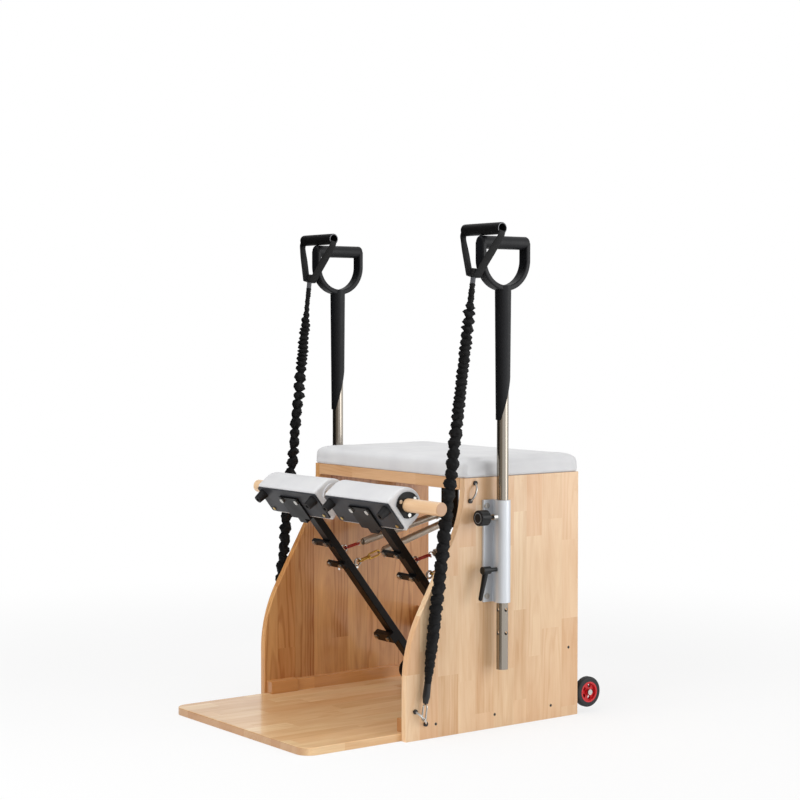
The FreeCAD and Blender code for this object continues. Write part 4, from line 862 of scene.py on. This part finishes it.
dress(anodised("silver_anodised_aluminium", "#DDE0E4", "#C8CCD2"), "pole_brackets")


# Poles: stainless tube, polished lengthways, cross-drilled for the index pin and held by a
# clamp lever. The bore is coloured near black inside as painted shade.
pole_axis = (0.341, 0.09325)
bore_shade_radius = 0.01375


def in_tube(tree, aside, other, axis, inner, outer):
    """1 where a place lies between two radii about a straight axis, from two of its coordinates."""
    flat = add(tree, "CombineXYZ", (aside, other))
    away = add(tree, "VectorMath DISTANCE", (flat[0], (*axis, 0)))["Value"]
    return within(tree, away, inner, outer)


pole_steel_and_bore_shade = plated_steel("polished_stainless_tube_and_painted_bore_shade", "#ABA398", 0.16, (1100, 1100, 5))
tree, place, outward = spots(pole_steel_and_bore_shade)
# Painted shade: inside the bore the steel is coloured near black and matt, for the shade in the tube.
patched(pole_steel_and_bore_shade, "#0B0A09", 0.0, 0.8, in_tube(tree, outward, place["Y"], pole_axis, -1.0, bore_shade_radius))
dress(pole_steel_and_bore_shade, *[side + "_pole" for side in SIDES])


# Knobs, levers and D handles: glass-filled nylon and ABS mouldings, dark grey to black. The
# knobs carry a plain pale ring on the face.
ring_radii = (0.0112, 0.0126)
knob_axis = (0.341, 0.508)
knob_face = 0.0188
black_nylon = moulded("black_glass_filled_nylon", "#09090A", 0.4, 0.9, 0.0001, 0.35)
ringed_nylon = moulded("black_nylon_with_pale_ring", "#09090A", 0.4, 0.9, 0.0001, 0.35)
tree, place, outward = spots(ringed_nylon)
patched(ringed_nylon, "#8F9092", 0.0, 0.5, in_tube(tree, outward, place["Z"], knob_axis, *ring_radii),
        within(tree, place["Y"], -1.0, knob_face))
handle_abs = moulded("dark_grey_moulded_abs", "#0E0F12", 0.5, 1.1, 0.0002, 0.28)
for side in SIDES:
    dress(ringed_nylon, side + "_knob")
    dress(black_nylon, side + "_clamp_lever")
    dress(handle_abs, side + "_handle")


# Band eyes and hooks: bright wire bows between black ferrules on the panels, with an oval
# hook on each lower one. The moulded end caps grip the bands' lower ends.
ferrule_face = (0.3, 0.3153)
chrome = plated_steel("bright_chrome_wire", "#D6D5D2", 0.16, (600, 600, 600))
tree, place, outward = spots(chrome)
patched(chrome, "#0C0C0D", 0.0, 0.5, within(tree, outward, *ferrule_face))
dress(chrome, "band_eyes_and_hooks")
cap_rubber = moulded("black_cap_rubber", "#0F0F11", 0.38, 1.2, 0.0001)
dress(cap_rubber, "band_end_caps")


# Resistance bands: elastic cords inside sleeves of black polyester that are cut long and
# gathered, so that the cloth stands out in ruffles: wide near the grips, tight below them, and
# round and full towards the floor. Both hang taut.
band_low = Vector((0.32627, -0.11732, 0.13282))
band_high = Vector((0.34074, 0.00158, 1.05444))
core_radius = 0.0055
sleeve_rings = 820
sleeve_sides = 32
sleeve_seed = 5.0
pleat_depth = 0.0016
pleat_length = 0.045
pleat_scale = 3.2
sway_scale = 0.62
sway_folds = 1.4
size_scale = 1.1
size_range = (0.5, 1.12)
pointed_power = 1.7
round_power = 0.65
lint_mm = 9.0
creases_per_ruffle = 3
crease_depth = 0.0012
# Each row: share of the length from below, a ruffle's length, the body's radius, the ruffle's reach, its roundness.
sleeve_stages = {
    "right": ((0.000, 0.014, 0.0070, 0.0010, 1.0), (0.035, 0.018, 0.0085, 0.0025, 1.0),
              (0.075, 0.020, 0.0098, 0.0042, 1.0), (0.130, 0.022, 0.0104, 0.0052, 1.0),
              (0.250, 0.024, 0.0100, 0.0064, 1.0), (0.420, 0.024, 0.0098, 0.0076, 0.9),
              (0.520, 0.025, 0.0084, 0.0086, 0.9), (0.640, 0.022, 0.0080, 0.0086, 0.9),
              (0.680, 0.013, 0.0098, 0.0056, 0.95), (0.850, 0.013, 0.0092, 0.0058, 0.9),
              (0.880, 0.018, 0.0056, 0.0106, 0.75), (0.935, 0.019, 0.0046, 0.0106, 0.7),
              (0.950, 0.017, 0.0058, 0.0032, 0.5), (1.000, 0.017, 0.0054, 0.0016, 0.6)),
    "left": ((0.000, 0.014, 0.0070, 0.0010, 1.0), (0.035, 0.020, 0.0085, 0.0030, 1.0),
             (0.090, 0.024, 0.0092, 0.0060, 1.0), (0.300, 0.028, 0.0070, 0.0092, 0.9),
             (0.500, 0.027, 0.0048, 0.0108, 0.9), (0.600, 0.026, 0.0046, 0.0112, 0.9),
             (0.760, 0.022, 0.0050, 0.0112, 0.9), (0.790, 0.011, 0.0082, 0.0072, 0.9),
             (0.890, 0.011, 0.0072, 0.0078, 0.8), (0.920, 0.016, 0.0046, 0.0070, 0.7),
             (0.940, 0.017, 0.0048, 0.0020, 0.4), (1.000, 0.018, 0.0052, 0.0012, 0.6)),
}

tree, given, line = shape_tree("gathered_sleeve", {
    "Core radius": "NodeSocketFloat", "Pleat depth": "NodeSocketFloat", "Pleat length": "NodeSocketFloat",
    "Rings": "NodeSocketInt", "Sides": "NodeSocketInt", "Seed": "NodeSocketFloat", "Finish": "NodeSocketMaterial"})
even = add(tree, "GeometryNodeResampleCurve", {"Curve": line, "Count": given["Rings"]})
along = add(tree, "GeometryNodeSplineParameter")
marked = add(tree, "GeometryNodeStoreNamedAttribute",
             {"Geometry": even[0], "Name": "along", "Value": along["Length"]}, data_type="FLOAT", domain="POINT")
ring = add(tree, "GeometryNodeCurvePrimitiveCircle",
           {"Resolution": given["Sides"], "Radius": given["Core radius"]})
turned = add(tree, "GeometryNodeStoreNamedAttribute",
             {"Geometry": ring[0], "Name": "around", "Value": along["Factor"]}, data_type="FLOAT", domain="POINT")
tube = add(tree, "GeometryNodeCurveToMesh",
           {"Curve": marked[0], "Profile Curve": turned[0], "Fill Caps": True})
read = {label: add(tree, "GeometryNodeInputNamedAttribute", {"Name": label}, data_type="FLOAT")["Attribute"]
        for label in ("along", "around", "fold", "plump", "reach", "roundness")}
angle = add(tree, "Math MULTIPLY", (read["around"], 2 * math.pi))[0]
east = add(tree, "Math COSINE", (angle,))[0]
north = add(tree, "Math SINE", (angle,))[0]
spot = add(tree, "CombineXYZ", (east, north, read["fold"]))[0]
sway = add(tree, "TexNoise",
           {"Vector": spot, "W": given["Seed"], "Scale": sway_scale, "Detail": 1.0}, noise_dimensions="4D")[0]
bent = add(tree, "Math MULTIPLY_ADD", (sway, sway_folds, read["fold"]))[0]
swing = add(tree, "Math PINGPONG", (bent, 0.5))[0]
crest = add(tree, "Math MULTIPLY", (swing, 2.0))[0]
pointed = add(tree, "Math POWER", (crest, pointed_power))[0]
arch = add(tree, "Math MULTIPLY", (crest, math.pi / 2))[0]
arched = add(tree, "Math SINE", (arch,))[0]
puffed = add(tree, "Math POWER", (arched, round_power))[0]
ruffle = add(tree, "Mix", {0: read["roundness"], 2: pointed, 3: puffed}, data_type="FLOAT")[0]
size = add(tree, "TexNoise",
           {"Vector": spot, "W": given["Seed"], "Scale": size_scale, "Detail": 2.0},
           noise_dimensions="4D")[0]
uneven = add(tree, "MapRange",
             {"Value": size, "From Min": 0.3, "From Max": 0.7,
              "To Min": size_range[0], "To Max": size_range[1]})[0]
height = add(tree, "Math MULTIPLY", (ruffle, uneven))[0]
stands = add(tree, "Math MULTIPLY", (height, read["reach"]))[0]
steps = add(tree, "Math DIVIDE", (read["along"], given["Pleat length"]))[0]
lengthways = add(tree, "CombineXYZ", (east, north, steps))[0]
pleats = add(tree, "TexNoise",
             {"Vector": lengthways, "W": given["Seed"], "Scale": pleat_scale, "Detail": 3.0},
             noise_dimensions="4D")[0]
creased = add(tree, "Math MULTIPLY_ADD", (pleats, given["Pleat depth"], stands))[0]
small = add(tree, "Math MULTIPLY", (bent, 2 * math.pi * creases_per_ruffle))[0]
rippled = add(tree, "Math SINE", (small,))[0]
drawn_in = add(tree, "MapRange",
               {"Value": rippled, "From Min": -1.0, "To Min": -crease_depth, "To Max": 0.0})[0]
filled = add(tree, "Math ADD", (creased, read["plump"]))[0]
full = add(tree, "Math ADD", (filled, drawn_in))[0]
outward = add(tree, "Math SUBTRACT", (full, given["Core radius"]))[0]
normal = add(tree, "GeometryNodeInputNormal")[0]
push = add(tree, "VectorMath SCALE", {0: normal, "Scale": outward})[0]
side_wall = add(tree, "Math GREATER_THAN", (read["around"], -0.5))[0]
moved = add(tree, "GeometryNodeSetPosition", {"Geometry": tube[0], "Selection": side_wall, "Offset": push})
rounded = add(tree, "GeometryNodeSetShadeSmooth", {"Geometry": moved[0]})
sleeve_tree = hand_out(tree, rounded[0], given["Finish"])


def woven_polyester(name, colour, thread_mm):
    """Plain woven filament yarn: almost black, hardly any gloss, a fine thread pattern, some lint.

    Real threads are a third of a millimetre wide, too fine for the picture, so they are drawn coarser.
    """
    return patterned(name, (srgb(colour), scaled(colour, 2.0)), [1000 / lint_mm] * 3, 4.0,
                     (0.0, 1.0, 0.72, 0.72), (thread_mm, 2.0, 0.4, 0.0003), {"Specular IOR Level": 0.3})


def smooth_line(points):
    """The points of a NURBS spline that has these control points."""
    data = bpy.data.curves.new("line", "CURVE")
    data.dimensions = "3D"
    data.resolution_u = 24
    spline = data.splines.new("NURBS")
    spline.points.add(len(points) - 1)
    for point, co in zip(spline.points, points):
        point.co = (*co, 1.0)
    spline.order_u = 3
    spline.use_endpoint_u = True
    holder = put("line", data)
    graph = bpy.context.evaluated_depsgraph_get()
    mesh = bpy.data.meshes.new_from_object(holder.evaluated_get(graph))
    line = [v.co.copy() for v in mesh.vertices]
    bpy.data.objects.remove(holder)
    return line


def staged(stages, share, column):
    """One value of the sleeve's table at a share of its length, between the rows around it."""
    for low, high in zip(stages, stages[1:]):
        if share <= high[0]:
            part = (share - low[0]) / (high[0] - low[0])
            return low[column] + part * (high[column] - low[column])
    return stages[-1][column]


band_fabric = woven_polyester("black_woven_polyester", "#060607", 1.1)
for side, way in SIDES.items():
    mirror = Vector((way, 1, 1))
    route = smooth_line([band_low * mirror, (band_low + band_high) / 2 * mirror, band_high * mirror])
    length = (route[-1] - route[0]).length
    shares = [(p - route[0]).length / length for p in route]
    stages = sleeve_stages[side]
    folds = [0.0]
    for before, after in zip(shares, shares[1:]):
        folds.append(folds[-1] + (after - before) * length / staged(stages, (before + after) / 2, 1))
    values = {"fold": folds}
    for column, label in ((2, "plump"), (3, "reach"), (4, "roundness")):
        values[label] = [staged(stages, share, column) for share in shares]
    sleeve = grown(side + "_band_sleeve_cloth", threaded("band_line", route, values), sleeve_tree, {
        "Core radius": core_radius, "Pleat depth": pleat_depth, "Pleat length": pleat_length,
        "Rings": sleeve_rings, "Sides": sleeve_sides, "Seed": sleeve_seed + way, "Finish": band_fabric})
    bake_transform(sleeve)
    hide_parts(side + "_band_sleeve")


# Band grips: black foam over a pale plastic tube that hangs on the front of the handle's bar.
# The foam is a moulded sleeve, glued on, with the tube's rim showing at both ends. The tube's bore is black as
# painted shade.
grip_at = Vector((0.341, 0.03375, 1.1813))
grip_profile = ((0.0692, 0.0112), (0.0695, 0.0114), (0.0695, 0.0123), (0.0690, 0.0125), (0.0687, 0.0128),
                (0.0688, 0.0131), (0.0681, 0.0136), (0.0668, 0.0139), (0.0640, 0.0140), (0.0300, 0.0141))
grip_sides = 48
rim_from = 0.066
rim_radius = 0.0126
foam = moulded("black_grip_foam_and_painted_bore_shade", "#0A0A0B", 0.6, 1.6, 0.0004, 0.3)
liner = moulded("grey_tube_rim", "#86878A", 0.45, 1.2, 0.0001)
for side, way in SIDES.items():
    centre = grip_at * Vector((way, 1, 1))
    outer = [*grip_profile, *[(-x, r) for x, r in grip_profile[::-1]]]
    turns = [2 * math.pi * n / grip_sides for n in range(grip_sides)]
    rings = [[centre + Vector((x, r * math.cos(t), r * math.sin(t))) for t in turns] for x, r in outer]
    grip = skinned(side + "_band_grip_foam", rings, closed_ends=False, closed_loop=True)
    grip.data.materials.append(foam)
    grip.data.materials.append(liner)
    # Painted shade: only the end rims get the tube's grey. Its bore keeps the black foam finish, for the shade
    # inside it.
    for face in grip.data.polygons:
        across = abs(face.center.x - centre.x)
        radius = math.hypot(face.center.y - centre.y, face.center.z - centre.z)
        face.material_index = 1 if across > rim_from and radius < rim_radius else 0
        face.use_smooth = True
    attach(grip, side + "_pole")
    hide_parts(side + "_band_grip")


# Band straps: black webbing through the grip's tube, down both sides and across under the plug
# that stops the elastic's end. It is squeezed narrower where it leaves the tube, and sewn above
# the plug. The plug is moulded rubber on a stub of grey latex tube.
strap_foot = Vector((0.341, 0.00375, 1.0713))
plug_below_strap = 0.0015
strap_thick = 0.002
strap_wide = 0.022
strap_squeezed = 0.018
strap_edge = 0.0006
strap_plan = ((0.0, 0.0), (0.008, 0.0), (0.0130, 0.0), (0.0156, 0.0043), (0.0420, 0.0490), (0.0685, 0.0930),
              (0.0707, 0.0985), (0.0707, 0.1040), (0.0700, 0.1080), (0.0650, 0.1082), (0.0300, 0.1082),
              (0.0, 0.1082))
squeeze_from = 0.055
squeeze_to = 0.098
stitch_span = (0.010, 0.036)
stitch_rows = (-0.007, 0.007)
stitch_pitch_mm = 3.2
stitch_stretch = 3.4
stitch_lift = 1.05
thread_radius = 0.00038
weave_mm = 3.0


def webbing(name, colour):
    """Flat woven polyester webbing: black with a satin rib across it and fine warp lines along it.

    A real rib is 1.5 mm wide and is drawn 3 mm wide here so that it shows.
    """
    made, tree, shader, coords = finish(name)
    on_strap = add(tree, "SeparateXYZ", (coords["UV"],))
    ribs = add(tree, "Math MULTIPLY", (on_strap["Y"], 2 * math.pi * 1000 / weave_mm))[0]
    warp = add(tree, "Math MULTIPLY", (on_strap["X"], 2 * math.pi * 1000 / weave_mm))[0]
    rib = add(tree, "Math SINE", (ribs,))[0]
    thread = add(tree, "Math SINE", (warp,))[0]
    woven = add(tree, "Math MULTIPLY", (rib, thread))[0]
    shade = add(tree, "MapRange", {"Value": woven, "From Min": -1.0, "From Max": 1.0})[0]
    body = add(tree, "Mix", {0: shade, 6: srgb(colour), 7: scaled(colour, 2.6)}, data_type="RGBA")[2]
    relief = add(tree, "Bump", {"Strength": 0.5, "Distance": 0.0004, "Height": shade})
    fill(tree, shader, {"Base Color": body, "Normal": relief[0], "Roughness": 0.68, "Specular IOR Level": 0.35})
    return made


tree, given, line = shape_tree("row_of_stitches", {
    "Pitch": "NodeSocketFloat", "Thread radius": "NodeSocketFloat", "Finish": "NodeSocketMaterial"})
spaced = add(tree, "GeometryNodeResampleCurve", {"Curve": line, "Length": given["Pitch"]}, mode="LENGTH")
bead = add(tree, "GeometryNodeMeshIcoSphere", {"Radius": given["Thread radius"], "Subdivisions": 1})
heading = add(tree, "GeometryNodeInputTangent")
aligned = add(tree, "FunctionNodeAlignRotationToVector", {"Vector": heading[0]}, axis="Z")
sewn = add(tree, "GeometryNodeInstanceOnPoints",
           {"Points": spaced[0], "Instance": bead[0], "Rotation": aligned[0], "Scale": (1.0, 1.0, stitch_stretch)})
stitch_tree = hand_out(tree, sewn[0], given["Finish"])

strap_web = webbing("black_polyester_webbing", "#0A0A0B")
thread = moulded("grey_sewing_thread", "#3A3A3D", 0.6, 0.8, 0.0001)
plug_rubber = moulded("black_plug_and_grey_latex", "#101012", 0.4, 1.2, 0.0001)
tree, place, outward = spots(plug_rubber)
patched(plug_rubber, "#4B4C50", 0.0, 0.45, within(tree, place["Z"], 0.0, strap_foot.z - plug_below_strap))

for side, way in SIDES.items():
    mirror = Vector((way, 1, 1))
    foot, grip_middle = strap_foot * mirror, grip_at * mirror
    up = (grip_middle - foot).normalized()
    across = up.cross(Vector((1, 0, 0))).normalized()
    plan = [*strap_plan, *[(-u, w) for u, w in strap_plan[-2:0:-1]], strap_plan[0]]
    line = smooth_line([foot + Vector((1, 0, 0)) * u + up * w for u, w in plan])[:-1]
    rings, marks, outward_at, run = [], [], [], 0.0
    for n, point in enumerate(line):
        ahead = (line[(n + 1) % len(line)] - line[n - 1]).normalized()
        outward = ahead.cross(across).normalized()
        height = (point - foot).dot(up)
        share = min(1.0, max(0.0, (height - squeeze_from) / (squeeze_to - squeeze_from)))
        wide = strap_wide + (strap_squeezed - strap_wide) * share * share * (3 - 2 * share)
        edge, thick = wide / 2, strap_thick / 2
        flat = edge - strap_edge
        section = ((-edge, -0.5), (-flat, -1), (0, -1), (flat, -1), (edge, -0.5),
                   (edge, 0.5), (flat, 1), (0, 1), (-flat, 1), (-edge, 0.5))
        rings.append([point + across * s + outward * thick * t for s, t in section])
        run += (point - line[n - 1]).length if n else 0.0
        marks.append([(s, run) for s, t in section])
        outward_at.append((point, outward, height))
    strap = skinned(side + "_band_webbing", rings, closed_ends=False, closed_loop=True)
    placed = [mark for ring in marks for mark in ring]
    layer = strap.data.uv_layers.new(name="weave")
    for loop in strap.data.loops:
        layer.data[loop.index].uv = placed[loop.vertex_index]
    strap.data.materials.append(strap_web)
    for face in strap.data.polygons:
        face.use_smooth = True
    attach(strap, side + "_pole")
    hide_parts(side + "_band_strap")

    rows = []
    for leg in (1, -1):
        sewn_part = [(p, o) for p, o, h in outward_at
                     if stitch_span[0] < h < stitch_span[1] and (p - foot).x * leg > 0]
        for row in stitch_rows:
            rows.append([p + across * row + o * (strap_thick / 2) * stitch_lift for p, o in sewn_part])
    for n, row in enumerate(rows):
        stitches = grown(f"{side}_strap_stitches_{n}", threaded("stitch_line", row), stitch_tree,
                         {"Pitch": stitch_pitch_mm / 1000, "Thread radius": thread_radius, "Finish": thread})
        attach(stitches, side + "_pole")
    dress(plug_rubber, side + "_band_plug")
